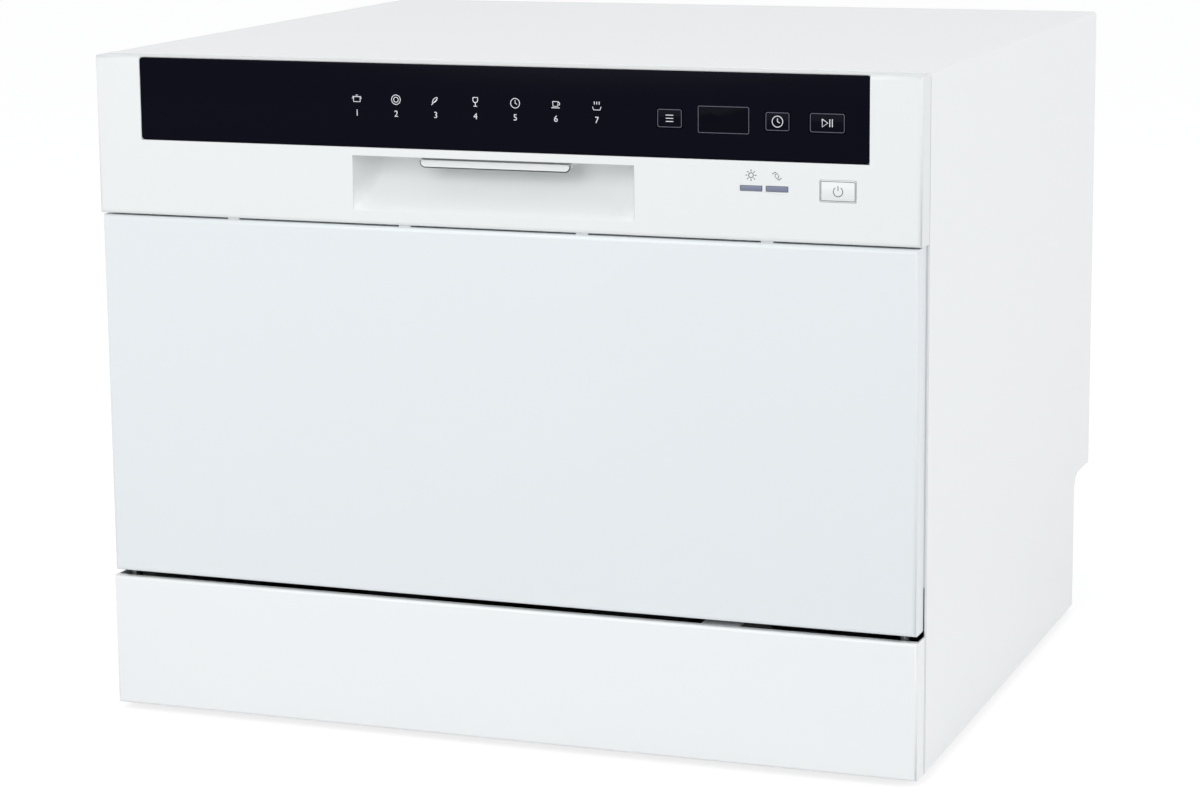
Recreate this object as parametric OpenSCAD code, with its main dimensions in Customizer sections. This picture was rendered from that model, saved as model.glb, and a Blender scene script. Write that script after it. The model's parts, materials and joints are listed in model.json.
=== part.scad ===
// Countertop dishwasher, six place settings, drawn in millimetres.
// X runs to the right, Y runs to the back, Z is up.
// The origin is on the worktop, under the middle of the cabinet.

/* [Cabinet] */
// Overall width
body_w = 550; // [530:1:580]
// Overall depth, front face to rear panel
body_d = 500; // [490:1:530]
// Overall height, worktop to top panel
body_h = 438; // [434:1:470]
// Sheet thickness of the cabinet wrap and rear panel
sheet_t = 0.8; // [0.6:0.1:1.2]
// Outside radius of the two long folds of the wrap
fold_r = 3; // [2:0.5:6]
// Clear height of the wrap and kickplate over the worktop
ground_gap = 5; // [4:0.5:8]
// Depth of the hose notch at the lower rear
notch_d = 50; // [44:1:54]
// Height of the hose notch over the worktop
notch_h = 103; // [96:1:108]
// Radius of the inner corner of the hose notch
notch_r = 14; // [8:1:20]
// Width of the wrap's inward flange along the rear edge
rear_flange = 12; // [8:1:16]
// Gap between the front pieces and the cabinet wrap
seam = 1.5; // [1:0.1:2.5]

/* [Front] */
// Depth of the sides of console, door panel and kickplate
front_depth = 18; // [16:1:20]
// Height of the kickplate
kick_h = 87.3; // [84:0.1:90]
// Gap between kickplate and door panel
door_gap = 3.7; // [3.4:0.1:5]
// Height of the console
console_h = 102.5; // [98:0.5:108]
// Gap between door panel and console
console_gap = 1; // [0.6:0.1:2]
// How far the console's top lies under the top panel
console_drop = 0.5; // [0.3:0.1:1.5]
// Sheet thickness of door panel and kickplate
panel_t = 1; // [0.8:0.1:1.4]
// Edge radius of the front pieces
edge_r = 3; // [2.6:0.1:4]
// How much narrower the door panel is than the body, each side
door_inset = 1.6; // [1.4:0.1:2.4]
// Overall thickness of the door, front face to liner
door_t = 45; // [43:1:48]
// Depth of the top and bottom lips of the kickplate
kick_lip = 6; // [4:0.5:8]

/* [Console] */
// Wall thickness of the console's front
console_t = 5; // [4.6:0.1:6]
// Wall thickness of the console's other sides
console_side_t = 2.5; // [2:0.1:3.5]
// Strip of console beside each end of the black fascia
fascia_side = 32.5; // [20:0.5:36]
// Height of the black fascia
fascia_h = 53.5; // [50:0.5:56]
// Thickness of the fascia
fascia_t = 2.5; // [2:0.1:3]
// Width of the handle recess
recess_w = 188; // [160:1:196]
// Height of the mouth of the handle recess
recess_h = 34.5; // [30:0.5:36]
// Strip of console between fascia and handle recess
recess_drop = 5.5; // [5:0.5:8]
// Radius of the scooped back wall of the handle recess
recess_r = 40; // [38:1:42]
// Width of the handle lever
lever_w = 100; // [80:1:120]
// Visible length of the handle lever below the recess roof
lever_drop = 8; // [6:0.5:10]
// Thickness of the handle lever
lever_t = 3; // [2.5:0.1:3.5]
// Clearance round the keys and lamps
key_gap = 0.25; // [0.15:0.05:0.4]
// Travel of the keys
key_travel = 1.2; // [0.8:0.1:1.5]

/* [Hinge] */
// Distance of the hinge axis behind the front face
hinge_back = 10; // [9.5:0.1:10.5]
// Height of the hinge axis over the door panel's lower edge
hinge_up = 12; // [11.5:0.1:13]
// Radius of the hinge pins
hinge_pin_r = 3; // [2.5:0.1:3.4]
// Radial clearance of the door arms on their pins
pin_fit = 0.05; // [0.02:0.01:0.1]
// Thickness of hinge brackets and door arms
hinge_t = 3; // [2.5:0.1:3.2]
// Length of the spring lever under the hinge axis
spring_lever = 28; // [26:1:30]
// Outside radius of the door springs
spring_r = 4.5; // [3.5:0.1:5]

/* [Tub] */
// Room between the tub's side walls and the outside of the cabinet
tub_side = 32; // [30:0.5:36]
// Room between the tub's back wall and the rear of the cabinet
tub_behind = 56; // [54:1:62]
// Room between the tub's ceiling and the outside of the top panel
tub_over = 34; // [33:0.5:40]
// Sheet thickness of the tub and the door liner
tub_t = 0.8; // [0.6:0.1:1]
// Height of the tub floor over the hinge axis
floor_up = 14; // [13:0.5:15]
// Height of the seal between tub flange and door liner
seal_d = 9; // [8:0.5:10]
// Width of the seal's legs
seal_w = 8; // [6:0.5:8]
// Depth of the front frame
frame_d = 15; // [12:1:18]
// Width of the rack rails along the tub walls
rail_w = 21; // [20:0.5:22]

/* [Rack] */
// Diameter of the thin rack wires
wire_d = 3.2; // [2.8:0.1:3.6]
// Diameter of the rim wire
rim_d = 4.5; // [4:0.1:5]
// Room between the rack's rim and the tub's side walls
rack_side = 17; // [15:0.5:23]
// Room between the rack's rim and the front of the tub
rack_before = 18; // [16:0.5:22]
// Room between the rack's rim and the tub's back wall
rack_behind = 12; // [9:0.5:16]
// Height of the rim over the rack floor
rack_h = 82; // [70:1:90]
// How far the side walls lean out
rack_lean = 18; // [14:1:20]
// How far the front wall leans out
rack_front_lean = 28; // [26:1:32]
// How far the back wall leans out
rack_back_lean = 10; // [6:1:14]
// Height of the plate tines
tine_h = 68; // [50:1:74]
// Number of floor wires from front to back
long_wires = 11; // [9:2:15]
// Number of floor wires from side to side
cross_wires = 8; // [7:1:11]
// Number of tines in a row
tine_count = 11; // [8:1:13]
// Radius of the rack wheels
wheel_r = 11; // [10:0.5:11.5]
// Width of the rack wheels
wheel_w = 10; // [8:0.5:11]
// Radius of the wheel axles
axle_r = 3; // [2.5:0.1:3.4]

/* [Baskets] */
// Width of the cutlery basket
cutlery_w = 84; // [70:1:88]
// Length of the cutlery basket
cutlery_d = 178; // [160:1:184]
// Height of the cutlery basket
cutlery_h = 112; // [100:1:116]
// Wall thickness of the cutlery basket
cutlery_t = 2; // [1.6:0.1:2.6]
// Width of the folding cup shelf
shelf_w = 106; // [90:1:108]
// Length of the folding cup shelf
shelf_d = 230; // [200:1:240]

/* [Spray arm] */
// Half length of the spray arm
arm_reach = 178; // [165:1:182]
// Width of the spray arm's blades
arm_w = 34; // [28:1:38]
// Thickness of the spray arm's blades
arm_t = 9; // [8:0.5:10]
// Radius of the fixed neck that the arm turns on
neck_r = 11; // [9:0.5:12]
// Radius of the removable cylinder filter
filter_r = 28; // [24:1:30]
// Radius of the salt cap
salt_cap_r = 30; // [27:1:32]

/* [Base] */
// Wall thickness of the base tray
tray_t = 3; // [2.5:0.1:3.5]
// Height of the base tray's rim
tray_h = 34; // [28:1:36]
// Radius of the feet
foot_r = 17; // [14:1:19]
// Radius of the feet's stems
foot_stem_r = 4; // [3.5:0.1:4.5]
// Outside radius of the threaded water inlet
inlet_r = 13.2; // [12.5:0.1:13.5]
// Length of the threaded water inlet
inlet_l = 16; // [12:1:18]
// Outside radius of the drain spigot
drain_r = 9; // [8:0.5:10]
// Length of the drain spigot
drain_l = 24; // [18:1:28]
// Bore radius of the cord gland
gland_bore_r = 3.9; // [3.5:0.1:4.2]

/* [Hidden] */
$fn = 48;
screw_r = 3.4;
screw_head = 1.8;
screw_crown = 0.7;   // share of a screw head's radius that is left at its top
eps = 0.01;      // overlap of pieces that are one solid
over = 1;        // overshoot of a cut past the face that it opens
run_gap = 0.3;   // clearance between pieces that move past each other

// Outline of the cabinet
x_out = body_w / 2;
x_in = x_out - sheet_t;
y_front = -body_d / 2;
y_back = body_d / 2;
y_wrap = y_front + front_depth + seam;
y_rear = y_back - screw_head;
y_notch = y_rear - notch_d;
z_base = ground_gap;

// Heights on the front
z_kick = z_base + kick_h;
z_door = z_kick + door_gap;
z_top = body_h - console_drop;
z_console = z_top - console_h;
z_door_top = z_console - console_gap;
z_fascia = z_top - fascia_h;
z_recess_top = z_fascia - recess_drop;
z_recess = z_recess_top - recess_h;
x_door = x_out - door_inset;

// Hinge axis and door
y_hinge = y_front + hinge_back;
z_hinge = z_door + hinge_up;
y_liner = y_front + door_t;
y_return = y_front + front_depth;
liner_lift = 3;      // liner's lower edge over the hinge axis
liner_drop = 4;      // liner's upper edge under the console's top
liner_lap = 19;      // liner's side past the tub's wall
x_tub = x_out - tub_side;
x_liner = x_tub + liner_lap;
z_liner = z_hinge + liner_lift;
z_liner_top = z_top - liner_drop;

// Tub, seal and frame
y_tub = y_liner + seal_d;
y_frame = y_tub + tub_t;
y_tub_back = y_back - tub_behind;
y_mid = (y_tub + y_tub_back) / 2;
z_floor = z_hinge + floor_up;
z_ceiling = body_h - tub_over;
seal_lap = 1;        // flange between tub opening and seal
z_rail = z_hinge + (door_t - hinge_back);
frame_top = body_h - sheet_t;

// Hinge stack, from the inside out
x_arm = x_liner;
x_bracket = x_arm - run_gap - hinge_t;
slot_margin = 5;     // room beside the hinge stack in the door panel's lower lip

// Latch
y_strike = y_frame + 7;
strike_r = 2;
z_strike = z_ceiling + seal_lap + seal_w + 2.5;
hook_gap = 0.5;
hook_x = 3;
y_hook_pivot = y_liner - 17;
z_hook_pivot = z_strike - 3.5;
hook_pin_r = 2;

// Handle lever
y_lever = y_front + 11;
z_lever_pivot = z_recess_top + 11.5;
lever_pin_r = 1.8;
lever_end = 4;       // length of the lever's pivot stubs

// Console keys, measured from the middle of the body and the top of the console
z_keys = z_top - 29.5;
z_lower_keys = z_fascia - 16.8;
key_wall = y_front + console_t;
board_y = key_wall + 4.5;
board_t = 1.6;

// Dispenser in the door liner
disp_x = 75;
disp_z0 = z_hinge + 122;
disp_h = 90;
disp_proud = 1.6;
disp_depth = 24;
disp_wall = 1.6;
y_disp = y_liner + disp_proud;
cup_x0 = -62;
cup_x1 = -2;
cup_z0 = disp_z0 + 10;
cup_z1 = disp_z0 + 75;
lid_t = 2;
lid_lap = 4;
cap_x = 38;
cap_z = disp_z0 + 58;
cap_r = 17;
button_z = disp_z0 + 20;
button_w = 18;
button_h = 12;
button_travel = 2;

// Rack
z_rack = z_rail + 25;
x_rim = x_tub - rack_side;
x_rack = x_rim - rack_lean;
y_rim0 = y_tub + rack_before;
y_rim1 = y_tub_back - rack_behind;
y_rack0 = y_rim0 + rack_front_lean;
y_rack1 = y_rim1 - rack_back_lean;
z_rim = z_rack + rack_h;
weld = 0.4;          // how deep crossing wires sink into each other
z_axle = z_rail + run_gap + wheel_r;
axle_front = y_rack0 + 69;
axle_rear = y_rack1 - 46;
x_wheel = x_tub - 9 - wheel_w;
hub_w = 6;           // width of the axle carriers
x_carrier = x_wheel - 1 - hub_w;

// Cup shelf and cutlery basket
x_shelf = x_rim - 2;
z_shelf = z_rim + 12;
shelf_rod_r = 2;
clip_y = 80;
clip_w = 12;
z_cutlery = z_rack + wire_d * 1.5 - weld + run_gap;
x_cutlery = -x_rack + 2;
y_cutlery = y_mid - 110;
cutlery_cells = 4;

// Spray arm, filters and softener
z_filter = z_floor + 1.2;
hub_x = 0;
filter_x = -60;
salt_x = 132;
salt_y = y_mid + 96;
sump_r = 92;
sump_flange = 8;
sump_wall = 3;
z_sump = 62;
z_arm = z_filter + 5;
arm_hub_r = 18;
z_tray = z_base + 1;
z_deck = z_tray + tray_t;

// Feet
foot_x = x_out - 45;
foot_front = y_front + 38;
foot_rear = y_notch - 28;
foot_boss_h = 22;

// Rear connections, measured from the sides of the body
inlet_x = -x_out + 90;
inlet_z = 62;
drain_x = -x_out + 125;
drain_z = 58;
gland_x = x_out - 70;
gland_z = 60;
port_gap = 1;        // gap round what passes through the rear panel
y_port = y_notch - sheet_t;

// A block between two corners
module block(lo, hi) {
    translate(lo) cube(hi - lo);
}

// Round bars along X and along Y
module bar_x(x0, x1, y, z, r) {
    translate([x0, y, z]) rotate([0, 90, 0]) cylinder(h = x1 - x0, r = r);
}
module bar_y(y0, y1, x, z, r) {
    translate([x, y1, z]) rotate([90, 0, 0]) cylinder(h = y1 - y0, r = r);
}
module bar_z(z0, z1, x, y, r) {
    translate([x, y, z0]) cylinder(h = z1 - z0, r = r);
}

// A straight wire between two points, and a bent one through several
module wire(p, q, d) {
    v = q - p;
    length = norm(v);
    translate(p) rotate([0, acos(v[2] / length), atan2(v[1], v[0])]) cylinder(h = length, d = d, $fn = 16);
}
bead = 0.12;         // how much thicker a wire is at its bends
bend_lap = 0.3;      // how far a straight stretch runs on into the bend
module bent_wire(points, d) {
    for (i = [0:len(points) - 2]) {
        u = (points[i + 1] - points[i]) / norm(points[i + 1] - points[i]) * bend_lap;
        wire(points[i] - u, points[i + 1] + u, d);
    }
    for (i = [1:len(points) - 2]) translate(points[i]) rotate(45) sphere(d = d + bead, $fn = 16);
}

// Both sides of the body
module both_sides() {
    children();
    mirror([1, 0, 0]) children();
}

// A rectangle whose two corners at low Y are rounded
module eased_rect(a0, a1, y0, y1, r) {
    translate([a0, y0 + r]) square([a1 - a0, y1 - y0 - r]);
    translate([a0 + r, y0]) square([a1 - a0 - 2 * r, r + eps]);
    for (a = [a0 + r, a1 - r]) translate([a, y0 + r]) circle(r);
}

// A slab whose front edges, towards -Y, are rounded all round
module eased_slab(x0, x1, y0, y1, z0, z1, r) {
    intersection() {
        translate([0, 0, z0]) linear_extrude(z1 - z0) eased_rect(x0, x1, y0, y1, r);
        translate([x0, 0, 0]) rotate([90, 0, 90]) linear_extrude(x1 - x0)
            mirror([1, -1]) eased_rect(z0, z1, y0, y1, r);
    }
}

// A rectangle with four round corners
module round_rect(x0, x1, y0, y1, r) {
    translate([x0 + r, y0]) square([x1 - x0 - 2 * r, y1 - y0]);
    translate([x0, y0 + r]) square([x1 - x0, y1 - y0 - 2 * r]);
    for (x = [x0 + r, x1 - r]) for (y = [y0 + r, y1 - r]) translate([x, y]) circle(r);
}

// Round-cornered prisms along Z and along Y
module prism_z(x0, x1, y0, y1, z0, z1, r) {
    translate([0, 0, z0]) linear_extrude(z1 - z0) round_rect(x0, x1, y0, y1, r);
}
module prism_y(x0, x1, y0, y1, z0, z1, r) {
    translate([0, y1, 0]) rotate([90, 0, 0]) linear_extrude(y1 - y0) round_rect(x0, x1, z0, z1, r);
}

// A profile drawn in the YZ plane, pulled along X
module pull_x(x0, x1) {
    translate([x0, 0, 0]) rotate([90, 0, 90]) linear_extrude(x1 - x0) children();
}

// A round-headed screw that lies on a face looking along -Y (turn = 0) or +Y (turn = 180)
module screw(x, y, z, turn = 0) {
    translate([x, y, z]) rotate([90, 0, turn])
        cylinder(h = screw_head, r1 = screw_r, r2 = screw_r * screw_crown);
}

// The cut-away of the hose notch, in the YZ plane, moved out by grow
notch_below = 20;    // how far the cut-away reaches below the worktop and behind the rear
module notch_shape(grow) {
    round = notch_r + grow;
    y0 = y_notch - grow;
    z1 = notch_h + grow;
    translate([y0 + round, -notch_below]) square([notch_d + notch_below, z1 + notch_below]);
    translate([y0, -notch_below]) square([notch_d + notch_below, z1 + notch_below - round]);
    translate([y0 + round, z1 - round]) circle(round);
}

module outer_wrap() {
    color("white") difference() {
        union() {
            difference() {
                wrap_block(x_out, body_h, fold_r);
                wrap_block(x_in, body_h - sheet_t, fold_r - sheet_t, eps);
            }
            // inward flange that carries the rear panel
            difference() {
                block([-x_in - eps, y_rear - 2 * sheet_t, notch_h + notch_r],
                    [x_in + eps, y_rear - sheet_t, body_h - sheet_t + eps]);
                block([-x_in + rear_flange, y_rear - 2 * sheet_t - over, 0],
                    [x_in - rear_flange, y_rear + over, body_h - sheet_t - rear_flange]);
            }
        }
        pull_x(-x_out - over, x_out + over) notch_shape(0);
    }
}

module wrap_block(x, z, r, past = 0) {
    translate([0, y_rear - sheet_t + past, 0]) rotate([90, 0, 0])
        linear_extrude(y_rear - sheet_t - y_wrap + 2 * past) {
            translate([-x, z_base - past]) square([2 * x, z - r - z_base + past]);
            translate([-x + r, z - r - eps]) square([2 * (x - r), r + eps]);
            for (s = [-1, 1]) translate([s * (x - r), z - r]) circle(r);
        }
}

vent_count = 9;
vent_pitch = 14;
vent_w = 5;
vent_z0 = 30;
vent_z1 = 78;
panel_side = 0.2;    // gap between the rear panel and the wrap
module rear_panel() {
    color("gainsboro") difference() {
        pull_x(-x_in + panel_side, x_in - panel_side) difference() {
            translate([y_notch - notch_r, z_base])
                square([notch_d + notch_r, body_h - sheet_t - panel_side - z_base]);
            notch_shape(0);
            difference() {
                translate([y_notch - notch_r - over, z_base - over])
                    square([notch_d + notch_r + over - sheet_t, body_h]);
                notch_shape(sheet_t);
            }
        }
        rear_hole(inlet_x, inlet_z, inlet_r + port_gap);
        rear_hole(drain_x, drain_z, drain_r + port_gap);
        rear_hole(gland_x, gland_z, gland_r + panel_side);
        // vent slots over the pumps
        for (i = [0:vent_count - 1]) {
            x = (i - vent_count / 2) * vent_pitch;
            prism_y(x, x + vent_w, y_port - over, y_notch + over, vent_z0, vent_z1, vent_w * 0.48);
        }
    }
}
module rear_hole(x, z, r) {
    bar_y(y_port - over, y_notch + over, x, z, r);
}

kick_side = 0.5;     // how much narrower the kickplate is than the body, each side
kick_r = edge_r - 1;
module kickplate() {
    x = x_out - kick_side;
    color("white") difference() {
        eased_slab(-x, x, y_front, y_return, z_base, z_kick, kick_r);
        eased_slab(-x + panel_t, x - panel_t, y_front + panel_t, y_return + over,
            z_base + panel_t, z_kick - panel_t, kick_r - panel_t);
        block([-x + panel_t, y_front + kick_lip, z_base - over],
            [x - panel_t, y_return + over, z_kick + over]);
    }
}

// Base tray with rim, foot bosses, tub posts and spring lugs
tray_x = x_in - panel_side;
tongue_x = x_out - 3;
tongue_lip = 12;
post_w = 22;
post_in = 30;        // middle of a post inside the tub's side wall
post_x = x_tub - post_in;
post_front = y_frame + 20;
post_rear = y_notch - 80;
lug_w = 4;
lug_d = 12;
foot_wall = 4;
foot_fit = 0.08;
module base_tray() {
    y0 = y_front + kick_r;
    color("dimgray") difference() {
        union() {
            difference() {
                block([-tray_x, y_wrap, z_tray], [tray_x, y_port, z_tray + tray_h]);
                block([-tray_x + tray_t, y_wrap + tray_t, z_deck],
                    [tray_x - tray_t, y_port - tray_t, z_tray + tray_h + over]);
            }
            // tongue that reaches forward on to the kickplate's lower lip
            block([-tongue_x, y0, z_tray], [tongue_x, y_wrap + eps, z_deck]);
            block([-tongue_x, y0, z_tray], [tongue_x, y0 + tray_t, z_tray + tongue_lip]);
            for (s = [-1, 1]) {
                for (y = [post_front, post_rear]) tray_post(s * post_x, y);
                for (y = [foot_front, foot_rear])
                    bar_z(z_deck - eps, z_deck + foot_boss_h, s * foot_x, y, foot_stem_r + foot_wall);
                spring_lug(s * spring_x);
            }
        }
        for (s = [-1, 1]) {
            for (y = [foot_front, foot_rear])
                bar_z(z_tray - over, z_deck + foot_boss_h + over, s * foot_x, y, foot_stem_r + foot_fit);
            bar_x(s * spring_x - lug_w, s * spring_x + lug_w, y_spring, z_spring0, spring_eye_r);
        }
    }
}

// Post that carries the tub's floor
module tray_post(x, y) {
    block([x - post_w / 2, y, z_deck - eps], [x + post_w / 2, y + post_w, z_floor - tub_t]);
}

// Lug that anchors a door spring
module spring_lug(x) {
    block([x - lug_w / 2, y_spring - lug_d / 2, z_deck - eps],
        [x + lug_w / 2, y_spring + lug_d / 2, z_spring0 + 4]);
}

module foot(x, y) {
    color("dimgray") {
        bar_z(0, z_tray - run_gap, x, y, foot_r);
        bar_z(z_tray - run_gap - eps, z_deck + foot_boss_h - 2, x, y, foot_stem_r);
    }
}
module foot_front_left() { foot(-foot_x, foot_front); }
module foot_front_right() { foot(foot_x, foot_front); }
module foot_rear_left() { foot(-foot_x, foot_rear); }
module foot_rear_right() { foot(foot_x, foot_rear); }

// Steel frame round the tub opening, between tub flange and wrap
frame_leg = 18;
latch_window = 16;   // half width of the latch's window
window_below = 6;
window_above = 11;
module front_frame() {
    y1 = y_frame + frame_d;
    color("silver") difference() {
        prism_y(-x_in, x_in, y_frame, y1, z_floor - frame_leg, frame_top, fold_r);
        block([-x_tub - tub_t, y_frame - over, z_floor - tub_t],
            [x_tub + tub_t, y1 + over, z_ceiling + tub_t]);
        block([-latch_window, y_frame - over, z_strike - window_below],
            [latch_window, y1 + over, z_strike + window_above]);
    }
}

// Strike bar across the window, held by a block at each end
strike_block = 6;
module strike_plate() {
    color("silver") {
        bar_x(-latch_window, latch_window, y_strike, z_strike, strike_r);
        both_sides() block([latch_window - strike_block, y_strike - 5, z_strike - window_below],
            [latch_window, y_strike + 5, z_strike + window_below]);
    }
}

tub_round = 12;
seal_round = 10;
flange_lap = 3;      // how far the tub's flange reaches past the seal
module wash_tub() {
    flange_x = x_tub + seal_lap + seal_w + flange_lap;
    color("lightsteelblue") difference() {
        union() {
            prism_y(-x_tub - tub_t, x_tub + tub_t, y_tub, y_tub_back + tub_t,
                z_floor - tub_t, z_ceiling + tub_t, tub_round + tub_t);
            block([-flange_x, y_tub, z_liner + 1], [flange_x, y_tub + tub_t, z_ceiling + seal_lap + seal_w]);
        }
        prism_y(-x_tub, x_tub, y_tub - over, y_tub_back, z_floor, z_ceiling, tub_round);
        bar_z(z_floor - tub_t - over, z_floor + over, hub_x, y_mid, sump_r - sump_wall);
        bar_z(z_floor - tub_t - over, z_floor + over, salt_x, salt_y, salt_neck_r + run_gap);
    }
}

module tub_seal() {
    x0 = x_tub + seal_lap;
    z1 = z_ceiling + seal_lap + seal_w - panel_side;
    color("gray") difference() {
        prism_y(-x0 - seal_w, x0 + seal_w, y_liner + run_gap, y_tub, z_liner + 2, z1, seal_round);
        prism_y(-x0, x0, y_liner - over, y_tub + over, z_floor - seal_lap, z_ceiling + seal_lap,
            seal_round - 1);
    }
}

rail_t = 1.2;
rail_end = 5;        // rail's ends short of the tub's ends
module rack_rails() {
    y0 = y_tub + rail_end;
    y1 = y_tub_back - rail_end;
    color("silver") both_sides() difference() {
        block([x_tub - rail_w, y0, z_floor], [x_tub, y1, z_rail]);
        block([x_tub - rail_w + rail_t, y0 - over, z_floor - over],
            [x_tub - tub_round, y1 + over, z_rail - rail_t]);
        // room for the tub's round corner
        block([x_tub - tub_round - over, y0 - over, z_floor - over],
            [x_tub + over, y1 + over, z_floor + tub_round]);
    }
}

// Fixed half of the hinge: foot plate on the frame and an arm to the axis
bracket_eye = 6;
bracket_up = liner_lift - 0.7;   // keeps the bracket under the liner's lower edge
bracket_foot = 20;
module hinge_brackets() {
    x1 = x_bracket + hinge_t;
    color("silver") both_sides() difference() {
        union() {
            block([x_bracket, y_hinge, z_hinge - bracket_eye], [x1, y_frame, z_hinge + bracket_up]);
            bar_x(x_bracket, x1, y_hinge, z_hinge, bracket_eye);
            block([x_bracket, y_frame - hinge_t, z_hinge - bracket_foot],
                [x_in - 1, y_frame, z_hinge + bracket_up]);
        }
        bar_x(x_bracket - over, x1 + over, y_hinge, z_hinge, hinge_pin_r);
    }
}

pin_end = 2;
pin_head = 1.5;      // how far the pin's head reaches past the pin, along and across
module hinge_pins() {
    color("silver") both_sides() {
        bar_x(x_bracket - pin_end, x_arm + hinge_t + pin_end, y_hinge, z_hinge, hinge_pin_r);
        bar_x(x_bracket - pin_end - pin_head, x_bracket - run_gap, y_hinge, z_hinge, hinge_pin_r + pin_head);
    }
}

// Door springs, from the base tray's lug to the lever of the door arm
spring_x = x_arm + hinge_t / 2;
y_spring = y_hinge + 4;
z_spring0 = z_deck + 12;
z_spring1 = z_hinge - spring_lever;
spring_eye_r = 2;
spring_wire_r = 0.9;
spring_loop = 6;     // length of the wire loops at the spring's ends
module spring() {
    z0 = z_spring0 + spring_loop + 3;
    z1 = z_spring1 - spring_loop;
    bar_z(z0, z1, spring_x, y_spring, spring_r);
    for (z = [z_spring0, z_spring1])
        bar_x(spring_x - spring_r + 1, spring_x + spring_r - 1, y_spring, z, spring_wire_r);
    for (s = [-1, 1]) {
        x = spring_x + s * (spring_r - 1);
        bar_z(z_spring0, z0 + over, x, y_spring, spring_wire_r);
        bar_z(z1 - over, z_spring1, x, y_spring, spring_wire_r);
        for (z = [z_spring0, z_spring1]) translate([x, y_spring, z]) sphere(spring_wire_r);
    }
}
module spring_right() { color("gray") spring(); }
module spring_left() { color("gray") mirror([1, 0, 0]) spring(); }

// Sump cup under the tub floor, with a deeper well under the cylinder filter
well_r = filter_r + 2;
z_well = z_sump - 22;
z_sump_top = z_floor - tub_t;
module sump() {
    color("dimgray") difference() {
        union() {
            bar_z(z_sump_top - sump_wall, z_sump_top, hub_x, y_mid, sump_r + sump_flange);
            bar_z(z_sump, z_sump_top - sump_wall + eps, hub_x, y_mid, sump_r);
            bar_z(z_well, z_sump + eps, filter_x, y_mid, well_r + sump_wall);
        }
        bar_z(z_sump + sump_wall, z_floor, hub_x, y_mid, sump_r - sump_wall);
        bar_z(z_well + sump_wall, z_floor, filter_x, y_mid, well_r);
    }
}

// Flat filter, which covers the sump and laps over the tub's floor
filter_lap = 12;     // least lap past the mouth of the sump
filter_extra = 8;    // further lap on the side of the cylinder filter
module flat_filter() {
    x0 = hub_x - sump_r - filter_lap - filter_extra;
    y_lap = sump_r + filter_lap / 2;
    color("silver") difference() {
        prism_z(x0, hub_x + sump_r + filter_lap, y_mid - y_lap, y_mid + y_lap, z_floor, z_filter, filter_r);
        bar_z(z_floor - over, z_filter + over, filter_x, y_mid, filter_r + 2 * run_gap);
        bar_z(z_floor - over, z_filter + over, hub_x, y_mid, neck_r + panel_side);
    }
}

// Fixed riser that feeds and carries the spray arm
arm_boss = 2;        // height of the arm's hub over its blades
hub_cap = 4;
module spray_hub() {
    z_cap = z_arm + arm_t + arm_boss + run_gap;
    color("dimgray") {
        bar_z(z_sump + sump_wall, z_cap + eps, hub_x, y_mid, neck_r);
        bar_z(z_filter, z_arm - run_gap, hub_x, y_mid, arm_hub_r - 2);
        bar_z(z_cap, z_arm + arm_t + arm_boss + hub_cap, hub_x, y_mid, arm_hub_r - 3);
    }
}

arm_turn = 18;       // how far the arm is turned at rest
arm_rise = 2;        // how far the blade's tip lies over its root
module spray_arm() {
    tip_r = arm_w / 3;
    color("gainsboro") difference() {
        union() {
            bar_z(z_arm, z_arm + arm_t + arm_boss, hub_x, y_mid, arm_hub_r);
            translate([hub_x, y_mid, z_arm]) rotate(arm_turn) for (s = [0, 180]) rotate(s) hull() {
                translate([arm_hub_r - 4, 0, 0]) cylinder(h = arm_t, r = arm_w / 2, $fn = 32);
                translate([arm_reach - tip_r, 0, arm_rise])
                    cylinder(h = arm_t - 1.5 * arm_rise, r = tip_r, $fn = 32);
            }
        }
        bar_z(z_arm - over, z_arm + arm_t + arm_boss + over, hub_x, y_mid, neck_r + pin_fit);
    }
}

filter_wall = 3;
filter_grip = 5;     // thickness of the grip across the filter's mouth
module cylinder_filter() {
    z_top_edge = z_filter + run_gap;
    color("silver") {
        difference() {
            bar_z(z_well + sump_wall + run_gap, z_top_edge, filter_x, y_mid, filter_r);
            bar_z(z_sump, z_filter + over, filter_x, y_mid, filter_r - filter_wall);
        }
        bar_z(z_sump - over, z_top_edge, filter_x, y_mid, filter_wall);
        block([filter_x - filter_r + 1, y_mid - filter_grip / 2, z_filter - 10],
            [filter_x + filter_r - 1, y_mid + filter_grip / 2, z_filter + 3]);
    }
}

// Softener beside the sump, with its filling neck through the tub's floor
salt_neck_r = 26;
salt_wall = 4;
softener_side = 24;  // softener's side towards the sump, from the filling neck's axis
softener_gap = 8;    // room between the softener and the tray's post
softener_top = z_floor - 14;
module softener() {
    x1 = post_x - post_w / 2 - softener_gap;
    color("gainsboro") difference() {
        union() {
            prism_z(salt_x - softener_side, x1, salt_y - 60, salt_y + 59, z_deck, softener_top, 8);
            bar_z(softener_top - eps, z_floor + 1, salt_x, salt_y, salt_neck_r);
        }
        bar_z(z_deck + salt_wall, z_floor + over + 1, salt_x, salt_y, salt_neck_r - salt_wall);
    }
}

salt_plug = 8;       // depth of the cap's plug under the tub's floor
module salt_cap() {
    z0 = z_floor + 1 + run_gap;
    z1 = z_floor + 4;
    color("dimgray") {
        bar_z(z0, z1, salt_x, salt_y, salt_cap_r);
        bar_z(z_floor - salt_plug, z0 + eps, salt_x, salt_y, salt_neck_r - salt_wall - run_gap / 2);
        block([salt_x - salt_cap_r + 4, salt_y - 3, z1 - eps],
            [salt_x + salt_cap_r - 4, salt_y + 3, z_arm - 0.8]);
    }
}

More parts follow.
